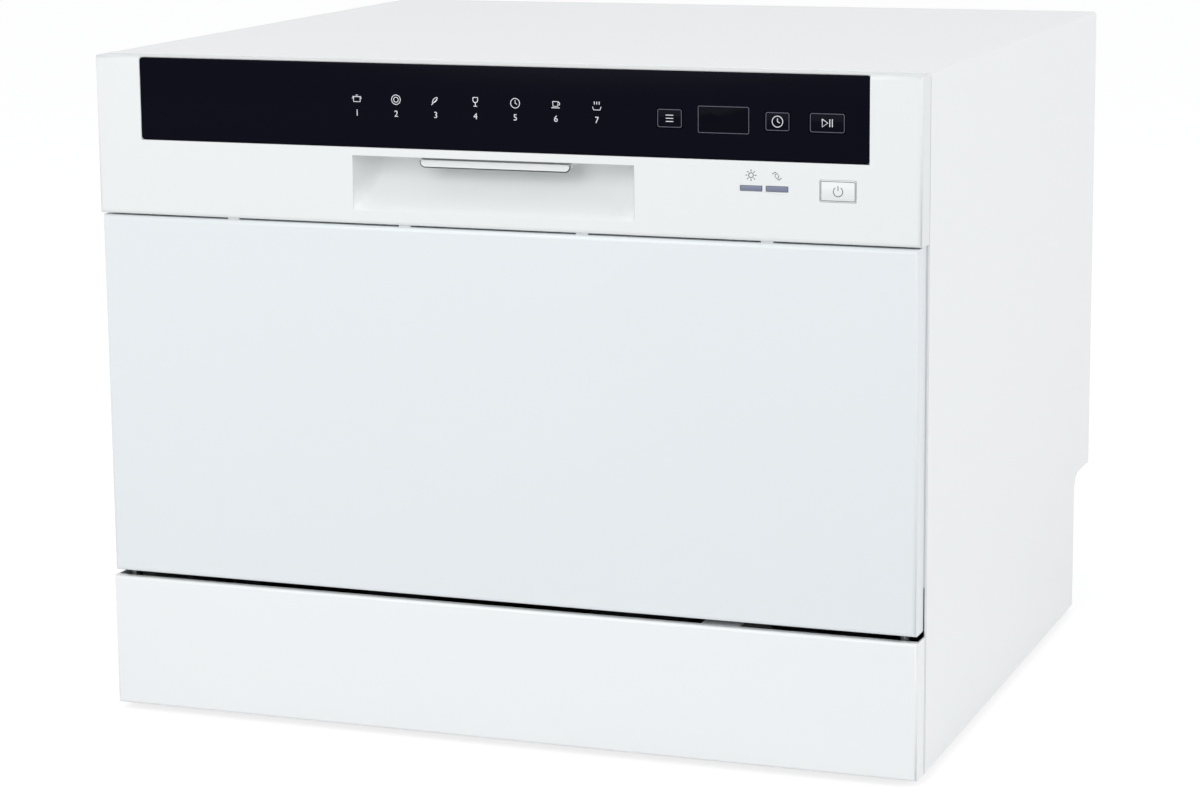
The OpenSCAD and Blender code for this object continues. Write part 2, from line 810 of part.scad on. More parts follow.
// Pumps and heater on the base tray
pump_x = 70;
pump_l = 70;
pump_r = 34;
pump_tuck = 1;       // how far the pump's end reaches past the front of the round sump, beside it
pump_y = y_mid - sump_r - pump_l + pump_tuck;
pump_z = z_deck + 44;
volute_r = 40;
volute_l = 14;
intake_r = 14;
intake_l = 8;
module wash_pump() {
    y_volute = pump_y - volute_l;
    color("dimgray") {
        bar_y(pump_y, pump_y + pump_l, pump_x, pump_z, pump_r);
        bar_y(y_volute, pump_y + eps, pump_x, pump_z, volute_r);
        bar_y(y_volute - intake_l, y_volute + eps, pump_x, pump_z, intake_r);
        pump_saddle(pump_x, 26, pump_y + 6, pump_y + pump_l - 8, pump_z);
    }
}

// Block under a pump, down to the tray
module pump_saddle(x, half_w, y0, y1, z1) {
    block([x - half_w, y0, z_deck], [x + half_w, y1, z1]);
}

drain_pump_x = drain_x + 45;
drain_pump_r = 21;
drain_pump_l = 46;
drain_volute_r = 26;
drain_volute_l = 16;
drain_pump_y = y_mid - sump_r - drain_pump_l - 15;
module drain_pump() {
    y1 = drain_pump_y + drain_pump_l;
    color("dimgray") {
        bar_y(drain_pump_y, y1, drain_pump_x, drain_z, drain_pump_r);
        bar_y(drain_pump_y - drain_volute_l, drain_pump_y + eps, drain_pump_x, drain_z, drain_volute_r);
        pump_saddle(drain_pump_x, 16, drain_pump_y + 4, y1 - 4, drain_z);
    }
}

heater_x = 165;
heater_z = pump_z;
heater_r = 21;
heater_strap = 8;
heater_y0 = pump_y + 25;
heater_y1 = y_mid + 20;
module heater() {
    color("silver") {
        bar_y(heater_y0, heater_y1, heater_x, heater_z, heater_r);
        for (y = [heater_y0 + heater_strap, heater_y1 - 2 * heater_strap])
            pump_saddle(heater_x, 14, y, y + heater_strap, heater_z);
    }
}

// Fixed pipes from the heater to the pump and to the sump
pipe_r = 7;
module wash_pipes() {
    y_intake = pump_y - volute_l - intake_l;
    y_turn = y_intake - 2 * pipe_r;
    y_side = heater_y1 + pipe_r + 1;
    x_sump = sump_r * 0.65;
    color("black") {
        bent_pipe([[heater_x, heater_y0, heater_z], [heater_x, y_turn, heater_z], [pump_x, y_turn, heater_z],
            [pump_x, y_intake, heater_z]], pipe_r);
        bent_pipe([[heater_x, heater_y1, heater_z], [heater_x, y_side, heater_z], [x_sump, y_side, heater_z],
            [x_sump, y_side, z_sump]], pipe_r);
    }
}
module bent_pipe(points, r) {
    for (i = [0:len(points) - 2]) pipe_run(points[i], points[i + 1], r);
    if (len(points) > 2)
        for (i = [1:len(points) - 2]) translate(points[i]) sphere(r);
}
module pipe_run(p, q, r) {
    v = q - p;
    length = norm(v);
    translate(p) rotate([0, acos(v[2] / length), atan2(v[1], v[0])]) cylinder(h = length, r = r);
}

hose_side = 12;      // pump's outlet beside its axis
hose_turn = 18;      // room for the hose's turn in front of the pump
drain_joint = y_port - 24;
module drain_hose() {
    start = drain_pump_y - drain_volute_l;
    x0 = drain_pump_x - hose_side;
    color("gray") bent_pipe([[x0, start, drain_z], [x0, start - hose_turn, drain_z],
        [drain_x, start - hose_turn, drain_z], [drain_x, drain_joint, drain_z]], drain_r - 1);
}

drain_flange = 5;
drain_wall = 2.5;
module drain_spigot() {
    color("dimgray") difference() {
        union() {
            bar_y(y_port - drain_flange, y_port, drain_x, drain_z, drain_r + drain_flange);
            bar_y(drain_joint, y_notch + drain_l, drain_x, drain_z, drain_r);
        }
        bar_y(drain_joint + 4, y_notch + drain_l + over, drain_x, drain_z, drain_r - drain_wall);
    }
}

// Water valve: threaded inlet with flange, body, coil and foot
inlet_flange = 6;
inlet_wall = 4;
valve_w = 28;
valve_h = 32;
coil_r = 15;
coil_h = 24;
module inlet_valve() {
    y_joint = y_port - 18;
    y_valve = y_port - 56;
    y_coil = (y_joint + y_valve) / 2;
    color("gainsboro") difference() {
        union() {
            bar_y(y_port - inlet_flange, y_port, inlet_x, inlet_z, inlet_r + inlet_flange);
            bar_y(y_joint - eps, y_notch + inlet_l, inlet_x, inlet_z, inlet_r);
            block([inlet_x - valve_w / 2, y_valve, inlet_z - valve_h / 2],
                [inlet_x + valve_w / 2, y_joint, inlet_z + valve_h / 2]);
            bar_z(inlet_z + valve_h / 2 - eps, inlet_z + valve_h / 2 + coil_h, inlet_x, y_coil, coil_r);
            block([inlet_x - 10, y_coil - 10, z_deck], [inlet_x + 10, y_coil + 10, inlet_z]);
        }
        bar_y(y_joint, y_notch + inlet_l + over, inlet_x, inlet_z, inlet_r - inlet_wall);
    }
}

gland_r = 8;
gland_lip = 3;       // how far the gland's collars reach past its barrel
gland_collar = 4;
module cord_gland() {
    color("black") difference() {
        union() {
            bar_y(y_notch - 22, y_notch + gland_collar, gland_x, gland_z, gland_r);
            bar_y(y_notch, y_notch + gland_collar, gland_x, gland_z, gland_r + gland_lip);
            bar_y(y_port - gland_collar, y_port, gland_x, gland_z, gland_r + gland_lip);
        }
        bar_y(y_notch - 22 - over, y_notch + gland_collar + over, gland_x, gland_z, gland_bore_r);
    }
}

// Flat water tank between the left tub wall and the wrap
tank_t = 26;
tank_pipe_r = 8;
module air_break() {
    x1 = -x_tub - tub_t;
    y1 = y_tub_back - 80;
    color("white") {
        block([x1 - tank_t, y_tub + 100, z_floor + 10], [x1, y1, z_ceiling - 52]);
        bar_z(z_floor - 30, z_floor + 10 + eps, x1 - tank_t / 2, y1 - 25, tank_pipe_r);
    }
}

// Screws along the wrap's rear flange and along the foot of the notch
module cabinet_screws() {
    side = x_in - 7;
    color("silver") {
        for (x = [-side, side]) for (z = [notch_h + 30, (notch_h + body_h) / 2, body_h - 30])
            screw(x, y_rear, z, 180);
        for (x = [-1, 0, 1]) screw(x * (x_out - 115), y_rear, body_h - 7, 180);
        for (x = [-x_out + 25, -vent_count * vent_pitch / 2 - 7, vent_count * vent_pitch / 2 + 37, x_out - 25])
            screw(x, y_notch, z_base + 14, 180);
    }
}

// Door
module door_panel() {
    slot_x0 = x_bracket - slot_margin;
    slot_x1 = x_arm + hinge_t + slot_margin;
    color("white") difference() {
        eased_slab(-x_door, x_door, y_front, y_return, z_door, z_door_top, edge_r);
        eased_slab(-x_door + panel_t, x_door - panel_t, y_front + panel_t, y_return + over,
            z_door + panel_t, z_door_top - panel_t, edge_r - panel_t);
        both_sides() block([slot_x0, y_front + edge_r, z_door - over],
            [slot_x1, y_return + over, z_door + panel_t + eps]);
    }
}

flange_in = 0.5;     // gap between the liner's outward flange and the door panel's sides
cut_lap = 4;         // lap of the dispenser's frame over its opening
module door_liner() {
    x_flange = x_door - panel_t - flange_in;
    color("silver") difference() {
        union() {
            block([-x_liner, y_return, z_liner], [x_liner, y_liner, z_liner_top]);
            block([-x_flange, y_return, z_liner], [x_flange, y_return + tub_t, z_top - console_side_t]);
        }
        block([-x_liner + tub_t, y_return - over, z_liner + tub_t],
            [x_liner - tub_t, y_liner - tub_t, z_liner_top - tub_t]);
        // opening for the dispenser and slot for the latch hook
        block([-disp_x + cut_lap, y_liner - cut_lap, disp_z0 + cut_lap],
            [disp_x - cut_lap, y_liner + over, disp_z0 + disp_h - cut_lap]);
        block([-hook_x - 2, y_liner - cut_lap, z_strike + strike_r - 0.4],
            [hook_x + 2, y_liner + over, z_strike + strike_r + 7.3]);
        // slots for the door arms in the outward flange
        both_sides() block([x_liner, y_return - over, z_liner - over],
            [x_liner + hinge_t + flange_in, y_return + tub_t + over, z_hinge + arm_up + over]);
    }
}

// Scoop of the handle recess, in the YZ plane, grown by wall
scoop_back = 12;     // centre of the scoop's arc in front of the front face
module scoop_shape(wall) {
    cz = z_recess + sqrt(recess_r * recess_r - scoop_back * scoop_back);
    intersection() {
        translate([y_front - scoop_back, cz]) circle(recess_r + wall, $fn = 96);
        translate([y_front - over, z_recess - wall - over]) square([recess_r, recess_h + 2 * wall + over]);
    }
}

pocket_gap = 0.1;    // gap behind the fascia and round the lamps and the display
bowl_t = 2;
lever_gap = 1;
slot_front = 5.5;    // room in front of the lever for its swing
module console() {
    x_side = recess_w / 2;
    pocket = x_fascia + key_gap;
    color("white") difference() {
        union() {
            difference() {
                eased_slab(-x_out, x_out, y_front, y_return, z_console, z_top, edge_r);
                x_inside = x_out - console_side_t;
                eased_slab(-x_inside, x_inside, y_front + console_t, y_return + over,
                    z_console + console_side_t, z_top - console_side_t, flange_in);
            }
            // bowl behind the handle recess
            intersection() {
                pull_x(-x_side - bowl_t, x_side + bowl_t) scoop_shape(bowl_t);
                block([-x_out, y_front + 1, z_console + 1], [x_out, y_liner, z_top - 1]);
            }
            lever_lugs();
        }
        pull_x(-x_side, x_side) scoop_shape(0);
        // pocket of the fascia
        block([-pocket, y_front - over, z_fascia - key_gap],
            [pocket, y_front + fascia_t + pocket_gap, z_top + over]);
        // slot for the lever in the recess roof
        block([-lever_w / 2 - lever_gap, y_lever - slot_front, z_recess_top - over],
            [lever_w / 2 + lever_gap, y_lever + lever_t + 2, z_recess_top + 2 * bowl_t]);
        key_holes();
        lamp_holes();
        bar_x(-lever_w, lever_w, y_lever + lever_t / 2, z_lever_pivot, lever_pin_r + pin_fit);
    }
}

// Lugs that carry the handle lever, inside the console
module lever_lugs() {
    x0 = lever_w / 2 + lever_gap;
    both_sides() block([x0, y_front + console_t - 1, z_recess_top + 1],
        [x0 + lever_end, y_lever + lever_t + 3, z_lever_pivot + 5]);
}

fascia_r = 0.6;
x_fascia = x_out - fascia_side;
module fascia() {
    color("black") difference() {
        eased_slab(-x_fascia, x_fascia, y_front, y_front + fascia_t, z_fascia, z_top - fascia_r, fascia_r);
        key_holes();
        display_block(pocket_gap, y_front - over, y_front + fascia_t + over);
    }
}

// Keys: centre from the right side of the body, height of the centre, width and height
program_key_at = [x_out - 157.8, z_keys, 16.5, 12];
delay_key_at = [x_out - 89.5, z_keys, 15.8, 12];
start_key_at = [x_out - 58.5, z_keys, 22.4, 12.4];
power_key_at = [x_out - 51.7, z_lower_keys, 22.6, 13];
key_places = [program_key_at, delay_key_at, start_key_at, power_key_at];
display_x = x_out - 123.5;
display_w = 32;
display_h = 16;
key_corner = 1.2;
module key_shape(at, grow) {
    half_w = at[2] / 2 + grow;
    half_h = at[3] / 2 + grow;
    round_rect(at[0] - half_w, at[0] + half_w, at[1] - half_h, at[1] + half_h, key_corner);
}
module key_block(at, y0, y1, grow) {
    translate([0, y1, 0]) rotate([90, 0, 0]) linear_extrude(y1 - y0) key_shape(at, grow);
}
module key_holes() {
    for (at = key_places) key_block(at, y_front - over, key_wall + over, key_gap);
}
key_flange = 1.5;
key_stem_r = 2.5;
switch_h = 1.3;
module key(at) {
    y1 = key_wall + run_gap;
    key_block(at, y_front, y1 + eps, 0);
    key_block(at, y1, y1 + 1, key_flange);
    bar_y(y1, board_y - switch_h - pocket_gap - key_travel, at[0], at[1], key_stem_r);
}
module program_key() { color("black") key(program_key_at); }
module delay_key() { color("black") key(delay_key_at); }
module start_key() { color("black") key(start_key_at); }
module power_key() { color("white") key(power_key_at); }

module display_block(grow, y0, y1) {
    half_w = display_w / 2 + grow;
    half_h = display_h / 2 + grow;
    block([display_x - half_w, y0, z_keys - half_h], [display_x + half_w, y1, z_keys + half_h]);
}
module display_window() {
    color("black") display_block(0, y_front + pocket_gap, y_front + fascia_t + pocket_gap);
}

lamp_w = 13.8;
lamp_h = 3.3;
lamp_x = [x_out - 106.1, x_out - 89.8];
module lamp(x, grow, y0, y1) {
    half_w = lamp_w / 2 + grow;
    half_h = lamp_h / 2 + grow;
    block([x - half_w, y0, z_lower_keys - half_h], [x + half_w, y1, z_lower_keys + half_h]);
}
module lamp_holes() {
    for (x = lamp_x) lamp(x, pocket_gap, y_front - over, key_wall + over);
}
module indicator_lamps() {
    color("slategray") for (x = lamp_x) lamp(x, 0, y_front, board_y);
}

// Circuit board with its switches and the display, behind the keys
board_x = recess_w / 2 + 10;             // left edge beside the recess
board_high_x = program_key_at[0] - 12;   // left edge over the recess
board_edge = 10;     // room between the board and the console's lower edge
switch_w = 6;
display_depth = 2.2;
standoff_r = 2.5;
module control_board() {
    x1 = x_out - console_side_t - 3;
    z0 = z_console + board_edge;
    z1 = z_top - console_side_t - 4;
    y0 = board_y;
    color("darkgreen") {
        block([board_x, y0, z0], [x1, y0 + board_t, z_recess_top]);
        block([board_high_x, y0, z_recess_top + bowl_t + 4], [x1, y0 + board_t, z1]);
        block([max(board_x, board_high_x), y0, z0], [x1, y0 + board_t, z1]);
        for (at = key_places)
            block([at[0] - switch_w / 2, y0 - switch_h, at[1] - switch_w / 2],
                [at[0] + switch_w / 2, y0 + eps, at[1] + switch_w / 2]);
        display_block(0, y0 - display_depth, y0 + eps);
        // standoffs to the console wall
        for (at = [[board_x + 5, z0 + 5], [x1 - 5, z0 + 5], [board_high_x + 5, z1 - 5], [x1 - 5, z1 - 5]])
            bar_y(key_wall, y0 + eps, at[0], at[1], standoff_r);
    }
}

// Moving half of the hinge: plate on the liner's side with bore and spring lever
arm_up = 120;
arm_depth = 20;      // how far the plate reaches behind the door's front pieces
arm_eye = 7;
lever_eye = 4;
module door_arms() {
    x1 = x_arm + hinge_t;
    y1 = y_return + arm_depth;
    color("silver") both_sides() difference() {
        union() {
            bar_x(x_arm, x1, y_hinge, z_hinge, arm_eye);
            pull_x(x_arm, x1) polygon([[y_hinge - 3, z_hinge + 5], [y_hinge + 6, z_hinge],
                [y1, z_hinge + 22], [y1, z_hinge + arm_up], [y_return + 3, z_hinge + arm_up],
                [y_hinge - 3, z_hinge + arm_up / 2]]);
            pull_x(x_arm, x1) polygon([[y_hinge - 5, z_hinge], [y_hinge + 5, z_hinge],
                [y_spring + lever_eye, z_spring1], [y_spring - lever_eye, z_spring1]]);
            bar_x(x_arm, x1, y_spring, z_spring1, lever_eye);
        }
        bar_x(x_arm - over, x1 + over, y_hinge, z_hinge, hinge_pin_r + pin_fit);
        bar_x(x_arm - over, x1 + over, y_spring, z_spring1, spring_eye_r);
    }
}

// Dispenser: tray with detergent cup, recessed in the liner
cup_round = 6;
button_depth = 6;
cap_lap = 5;         // lap of the rinse aid cap over its hole
cap_depth = 12;
lid_gap = 0.2;       // gap between the dispenser's face and what lies on it
module dispenser_body() {
    inside = disp_x - cut_lap - 1;
    color("gainsboro") difference() {
        union() {
            prism_y(-disp_x, disp_x, y_liner, y_disp, disp_z0, disp_z0 + disp_h, cup_round);
            block([-inside, y_disp - disp_depth - disp_wall, disp_z0 + cut_lap + 1],
                [inside, y_liner + eps, disp_z0 + disp_h - cut_lap - 1]);
        }
        prism_y(cup_x0, cup_x1, y_disp - disp_depth, y_disp + over, cup_z0, cup_z1, cup_round);
        bar_y(y_disp - cap_depth, y_disp + over, cap_x, cap_z, cap_r - cap_lap);
        button_block(key_gap, y_disp - button_depth, y_disp + over);
    }
}

lid_grip = 36;       // width of the ridge that the thumb pushes
lid_ridge = 1.6;
module dispenser_lid() {
    y0 = y_disp + lid_gap;
    y1 = y0 + lid_t;
    x = (cup_x0 + cup_x1) / 2;
    color("slategray") {
        prism_y(cup_x0 - lid_lap, cup_x1 + lid_lap, y0, y1, cup_z0 - lid_lap, cup_z1 + lid_lap, cup_round - 1);
        block([x - lid_grip / 2, y1 - eps, cup_z0 + 2], [x + lid_grip / 2, y1 + lid_ridge, cup_z0 + 6]);
    }
}

module button_block(grow, y0, y1) {
    half_w = button_w / 2 + grow;
    half_h = button_h / 2 + grow;
    block([cap_x - half_w, y0, button_z - half_h], [cap_x + half_w, y1, button_z + half_h]);
}
module dispenser_button() {
    y1 = y_disp + button_travel + 2 * lid_gap;
    color("slategray") button_block(0, y1 - button_depth, y1);
}

cap_t = 3;
cap_grip = 5;
module rinse_aid_cap() {
    y0 = y_disp + lid_gap;
    color("slategray") {
        bar_y(y0, y0 + cap_t, cap_x, cap_z, cap_r);
        bar_y(y_disp - cap_depth + cap_t, y0 + eps, cap_x, cap_z, cap_r - cap_lap - run_gap / 2);
        block([cap_x - cap_r + 3, y0 + cap_t - eps, cap_z - cap_grip / 2],
            [cap_x + cap_r - 3, y0 + 2 * cap_t + lid_gap, cap_z + cap_grip / 2]);
    }
}

// Latch: housing with its pin, hook and handle lever
housing_x = 22;
housing_t = 2;
housing_below = 10;
module latch_housing() {
    cheek = hook_x + run_gap;
    y1 = y_liner - tub_t;
    z0 = z_hook_pivot - housing_below;
    z1 = z_strike + 1;
    color("dimgray") {
        block([-housing_x, y1 - housing_t, z0], [housing_x, y1, z1]);
        both_sides() block([cheek, y_hook_pivot - 6, z0], [cheek + 1.5 * housing_t, y1 - housing_t + eps, z1]);
        bar_x(-cheek - eps, cheek + eps, y_hook_pivot, z_hook_pivot, hook_pin_r);
    }
}

hook_t = 3;          // height of the hook's arm
hook_eye = 5;
tail_y = y_lever + lever_t + hook_gap - 0.1;
tail_z = z_lever_pivot + 6;
module latch_hook() {
    z0 = z_strike + strike_r + hook_gap;
    z1 = z0 + hook_t;
    tip_y = y_strike + strike_r + hook_gap;
    color("silver") difference() {
        union() {
            bar_x(-hook_x, hook_x, y_hook_pivot, z_hook_pivot, hook_eye);
            pull_x(-hook_x, hook_x) {
                polygon([[y_hook_pivot - 2, z_hook_pivot + 4], [y_hook_pivot + 4, z_hook_pivot + 2],
                    [y_liner - 6, z0], [tip_y, z0], [tip_y, z0 - hook_t], [tip_y + 4, z0 + 1],
                    [tip_y + 3, z1], [y_liner - 8, z1]]);
                polygon([[y_hook_pivot - 4, z_hook_pivot], [y_hook_pivot + 3, z_hook_pivot],
                    [tail_y + 3, tail_z], [tail_y, tail_z]]);
            }
        }
        bar_x(-hook_x - over, hook_x + over, y_hook_pivot, z_hook_pivot, hook_pin_r + pin_fit);
    }
}

lever_round = 2.5;
lever_over = 3;      // lever's top edge over its pivot
pusher_w = 16;
module handle_lever() {
    half = lever_w / 2;
    y1 = y_lever + lever_t;
    z_edge = z_lever_pivot + lever_over;
    color("white") {
        difference() {
            prism_y(-half, half, y_lever, y1, z_recess_top - lever_drop, z_edge + lever_round, lever_round);
            block([-half - over, y_lever - over, z_edge],
                [half + over, y1 + over, z_edge + lever_round + over]);
        }
        // pusher that reaches the tail of the hook
        prism_y(-pusher_w / 2, pusher_w / 2, y_lever, y1, z_lever_pivot, tail_z + 4, lever_round - 1);
        both_sides() bar_x(half - 1, half + lever_gap + lever_end - run_gap, (y_lever + y1) / 2,
            z_lever_pivot, lever_pin_r);
    }
}

// Screws down both sides of the liner
door_screw_h = 1.4;
module door_screws() {
    color("silver") both_sides()
        for (z = [z_liner + 40, (z_liner + z_liner_top) / 2, z_liner_top - 20])
            translate([x_liner - 6, y_liner, z]) rotate([-90, 0, 0])
                cylinder(h = door_screw_h, r1 = screw_r, r2 = screw_r * screw_crown);
}

// Rack of bent wires, welded where they cross
function spread(i, n, a, b) = a + (b - a) * i / (n - 1);
corner_room = 14;    // room between the outermost wires and the rack's corners
module dish_rack() {
    z_cross = z_rack + wire_d - weld;
    color("silver") {
        for (i = [0:long_wires - 1]) {
            x = spread(i, long_wires, -x_rack + corner_room, x_rack - corner_room);
            bent_wire([[x, y_rim0, z_rim], [x, y_rack0, z_rack], [x, y_rack1, z_rack],
                [x, y_rim1, z_rim]], wire_d);
        }
        for (i = [0:cross_wires - 1]) {
            y = spread(i, cross_wires, y_rack0 + corner_room - 4, y_rack1 - corner_room + 6);
            bent_wire([[-x_rim, y, z_rim], [-x_rack, y, z_cross], [x_rack, y, z_cross],
                [x_rim, y, z_rim]], wire_d);
        }
        rack_ring(0, 0, rim_d);
        rack_ring(0.5, wire_d * 0.7, wire_d);
        for (y = [axle_front, axle_rear]) both_sides() wheel_carrier(y);
        for (y = [-clip_y, clip_y]) shelf_clip(y_mid + y);
    }
}

// A closed ring of wire on the rack walls, a share of the wall's height under the rim, moved outwards by out
module rack_ring(share, out, d) {
    x = x_rim - rack_lean * share + out;
    y0 = y_rim0 + rack_front_lean * share - out;
    y1 = y_rim1 - rack_back_lean * share + out;
    h = z_rim - rack_h * share;
    bent_wire([[0, y0, h], [-x, y0, h], [-x, y1, h], [x, y1, h], [x, y0, h], [0, y0, h]], d);
}

// Carrier and axle of one wheel
carrier_w = 16;
axle_head = 1.7;     // thickness of the axle's head
module wheel_carrier(y) {
    z1 = z_rack + wire_d;
    x1 = x_carrier + hub_w;
    x_head = x_wheel + wheel_w + run_gap;
    block([x_rack - corner_room - 2, y - carrier_w / 2, z_rack - 1], [x1, y + carrier_w / 2, z1]);
    block([x_carrier, y - carrier_w / 2, z_axle - axle_r - 1], [x1, y + carrier_w / 2, z1]);
    bar_x(x_carrier, x_head + eps, y, z_axle, axle_r);
    bar_x(x_head, x_head + axle_head, y, z_axle, axle_r + pin_head);
}

// Clip on the right rim that holds the rod of the cup shelf
clip_wall = 2.5;
module shelf_clip(y) {
    half = shelf_rod_r + clip_wall;
    difference() {
        block([x_shelf - half, y - clip_w / 2, z_rim], [x_shelf + half, y + clip_w / 2, z_shelf + half]);
        bar_y(y - clip_w / 2 - over, y + clip_w / 2 + over, x_shelf, z_shelf, shelf_rod_r + pocket_gap);
    }
}

// Plate tines, in two rows, each on a rod that lies on the cross wires
tine_rows = [-70, 20];
tine_rod = 4;
tine_end = 24;       // first and last tine from the ends of the rack floor
tine_lean = 10;
module plate_tines() {
    z0 = z_rack + 1.5 * wire_d - weld + tine_rod / 2;
    color("silver") for (x = tine_rows) {
        bar_y(y_rack0 + 6, y_rack1 - 4, x, z0, tine_rod / 2);
        for (i = [0:tine_count - 1]) {
            y = spread(i, tine_count, y_rack0 + tine_end, y_rack1 - tine_end);
            wire([x, y, z0], [x, y + tine_lean, z0 + tine_h], wire_d);
        }
    }
}

// Folding shelf: a round rod in the clips, a frame of wire on it, and wires across
shelf_wires = 9;
module cup_shelf() {
    y0 = y_mid - shelf_d / 2;
    y1 = y_mid + shelf_d / 2;
    x0 = x_shelf - shelf_w;
    color("silver") {
        bar_y(y0 - shelf_rod_r, y1 + shelf_rod_r, x_shelf, z_shelf, shelf_rod_r);
        bent_wire([[x_shelf, y1, z_shelf], [x0, y1, z_shelf], [x0, y0, z_shelf], [x_shelf, y0, z_shelf]],
            1.9 * shelf_rod_r);
        for (i = [1:shelf_wires - 2]) {
            y = spread(i, shelf_wires, y0, y1);
            if (abs(abs(y - y_mid) - clip_y) > clip_w)
                wire([x_shelf, y, z_shelf], [x0, y, z_shelf], wire_d);
        }
    }
}

module cutlery_basket() {
    x1 = x_cutlery + cutlery_w;
    y1 = y_cutlery + cutlery_d;
    z1 = z_cutlery + cutlery_h;
    pitch = (cutlery_d - cutlery_t) / cutlery_cells;
    color("gray") {
        difference() {
            prism_z(x_cutlery, x1, y_cutlery, y1, z_cutlery, z1, 3 * cutlery_t);
            for (i = [0:cutlery_cells - 1]) {
                y = y_cutlery + i * pitch;
                prism_z(x_cutlery + cutlery_t, x1 - cutlery_t, y + cutlery_t, y + pitch,
                    z_cutlery + cutlery_t, z1 + over, 2 * cutlery_t);
            }
        }
        cutlery_handle((x_cutlery + x1) / 2, y_cutlery + cutlery_d / 2, z1);
    }
}

// Carrying handle over the middle divider
grip_half = 25;
grip_r = 4;
grip_up = 20;
module cutlery_handle(x, y, z) {
    for (s = [-1, 1]) {
        post = x + s * (grip_half - 3);
        block([post - 3, y - cutlery_t / 2, z - over], [post + 3, y + cutlery_t / 2, z + grip_up]);
    }
    bar_x(x - grip_half, x + grip_half, y, z + grip_up, grip_r);
}

module wheel_pair(y) {
    color("gainsboro") both_sides() difference() {
        bar_x(x_wheel, x_wheel + wheel_w, y, z_axle, wheel_r);
        bar_x(x_wheel - over, x_wheel + wheel_w + over, y, z_axle, axle_r + pin_fit);
    }
}
module front_wheels() { wheel_pair(axle_front); }
module rear_wheels() { wheel_pair(axle_rear); }

outer_wrap();
rear_panel();
kickplate();
base_tray();
front_frame();
wash_tub();
tub_seal();
rack_rails();
strike_plate();
hinge_brackets();
hinge_pins();
spring_left();
spring_right();
sump();
flat_filter();
spray_hub();
wash_pump();
drain_pump();
heater();
softener();
inlet_valve();
drain_spigot();
drain_hose();
wash_pipes();
cord_gland();
air_break();
cabinet_screws();
foot_front_left();
foot_front_right();
foot_rear_left();
foot_rear_right();
door_panel();
door_liner();
console();
fascia();
display_window();
control_board();
indicator_lamps();
door_arms();
dispenser_body();
latch_housing();
door_screws();
handle_lever();
latch_hook();
program_key();
delay_key();
start_key();
power_key();
dispenser_lid();
dispenser_button();
rinse_aid_cap();
dish_rack();
plate_tines();
cup_shelf();
cutlery_basket();
front_wheels();
rear_wheels();
spray_arm();
cylinder_filter();
salt_cap();
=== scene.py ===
"""Countertop dishwasher: finishes, folded and moulded forms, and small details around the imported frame."""
import json
import logging
import math
from dataclasses import dataclass
from enum import Enum
from typing import Any, Iterable, Sequence

import bmesh
import bpy
from mathutils import Matrix, Vector


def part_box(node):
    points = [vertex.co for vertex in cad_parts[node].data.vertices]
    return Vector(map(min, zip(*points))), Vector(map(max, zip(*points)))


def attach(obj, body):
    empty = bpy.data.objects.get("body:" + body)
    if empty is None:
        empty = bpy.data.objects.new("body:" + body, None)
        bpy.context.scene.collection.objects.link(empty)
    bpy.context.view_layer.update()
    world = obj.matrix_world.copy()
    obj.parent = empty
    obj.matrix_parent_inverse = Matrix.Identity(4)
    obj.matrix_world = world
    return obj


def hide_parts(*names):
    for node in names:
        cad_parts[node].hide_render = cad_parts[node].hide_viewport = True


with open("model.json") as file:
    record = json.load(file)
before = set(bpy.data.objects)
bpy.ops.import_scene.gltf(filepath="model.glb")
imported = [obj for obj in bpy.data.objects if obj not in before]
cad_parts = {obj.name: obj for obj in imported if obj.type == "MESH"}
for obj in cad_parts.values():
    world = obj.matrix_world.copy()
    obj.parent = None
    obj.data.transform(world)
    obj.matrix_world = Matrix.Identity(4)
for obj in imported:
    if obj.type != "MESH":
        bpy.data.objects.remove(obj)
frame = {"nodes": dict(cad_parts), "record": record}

LOG = logging.getLogger("dishwasher")
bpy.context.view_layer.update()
MM = 0.001
WELD = 0.002 * MM
POLE_R = 0.005 * MM
ORIGIN = (0.0, 0.0, 0.0)

Point = tuple[float, float, float]
Flat = tuple[float, float]


def srgb(red: int, green: int, blue: int) -> tuple[float, float, float]:
    """Gives the linear colour of an 8-bit display colour.

    Args:
        red: the red channel, 0 to 255.
        green: the green channel, 0 to 255.
        blue: the blue channel, 0 to 255.

    Returns:
        The linear colour.
    """
    def linear(value: int) -> float:
        """Gives one channel."""
        share = value / 255
        return share / 12.92 if share <= 0.04045 else ((share + 0.055) / 1.055) ** 2.4
    return linear(red), linear(green), linear(blue)


class Wiring:
    """A node tree with short calls that add its nodes, sockets and links."""

    def __init__(self, tree: bpy.types.NodeTree) -> None:
        """Keeps the tree to be wired."""
        self.tree = tree

    def add(self, kind: str, values: dict[Any, Any] | None = None, **settings: Any) -> bpy.types.Node:
        """Adds a node.

        Args:
            kind: the node's type name.
            values: what the inputs get, by name or number: a value, or a socket to be linked.
            settings: the node's own properties.

        Returns:
            The new node.
        """
        node = self.tree.nodes.new(kind)
        for key, value in settings.items():
            setattr(node, key, value)
        for key, value in (values or {}).items():
            if isinstance(value, bpy.types.NodeSocket):
                self.join(value, node.inputs[key])
            else:
                node.inputs[key].default_value = value
        return node

    def calc(self, operation: str, *terms: Any, kind: str = "ShaderNodeMath") -> bpy.types.NodeSocket:
        """Adds a calculation.

        Args:
            operation: the calculation's name.
            terms: its terms in order, each a number or a socket.
            kind: the node's type name.

        Returns:
            The socket that carries the result.
        """
        return self.add(kind, dict(enumerate(terms)), operation=operation).outputs[0]

    def join(self, source: bpy.types.NodeSocket, target: bpy.types.NodeSocket) -> None:
        """Links one socket to another."""
        self.tree.links.new(source, target)


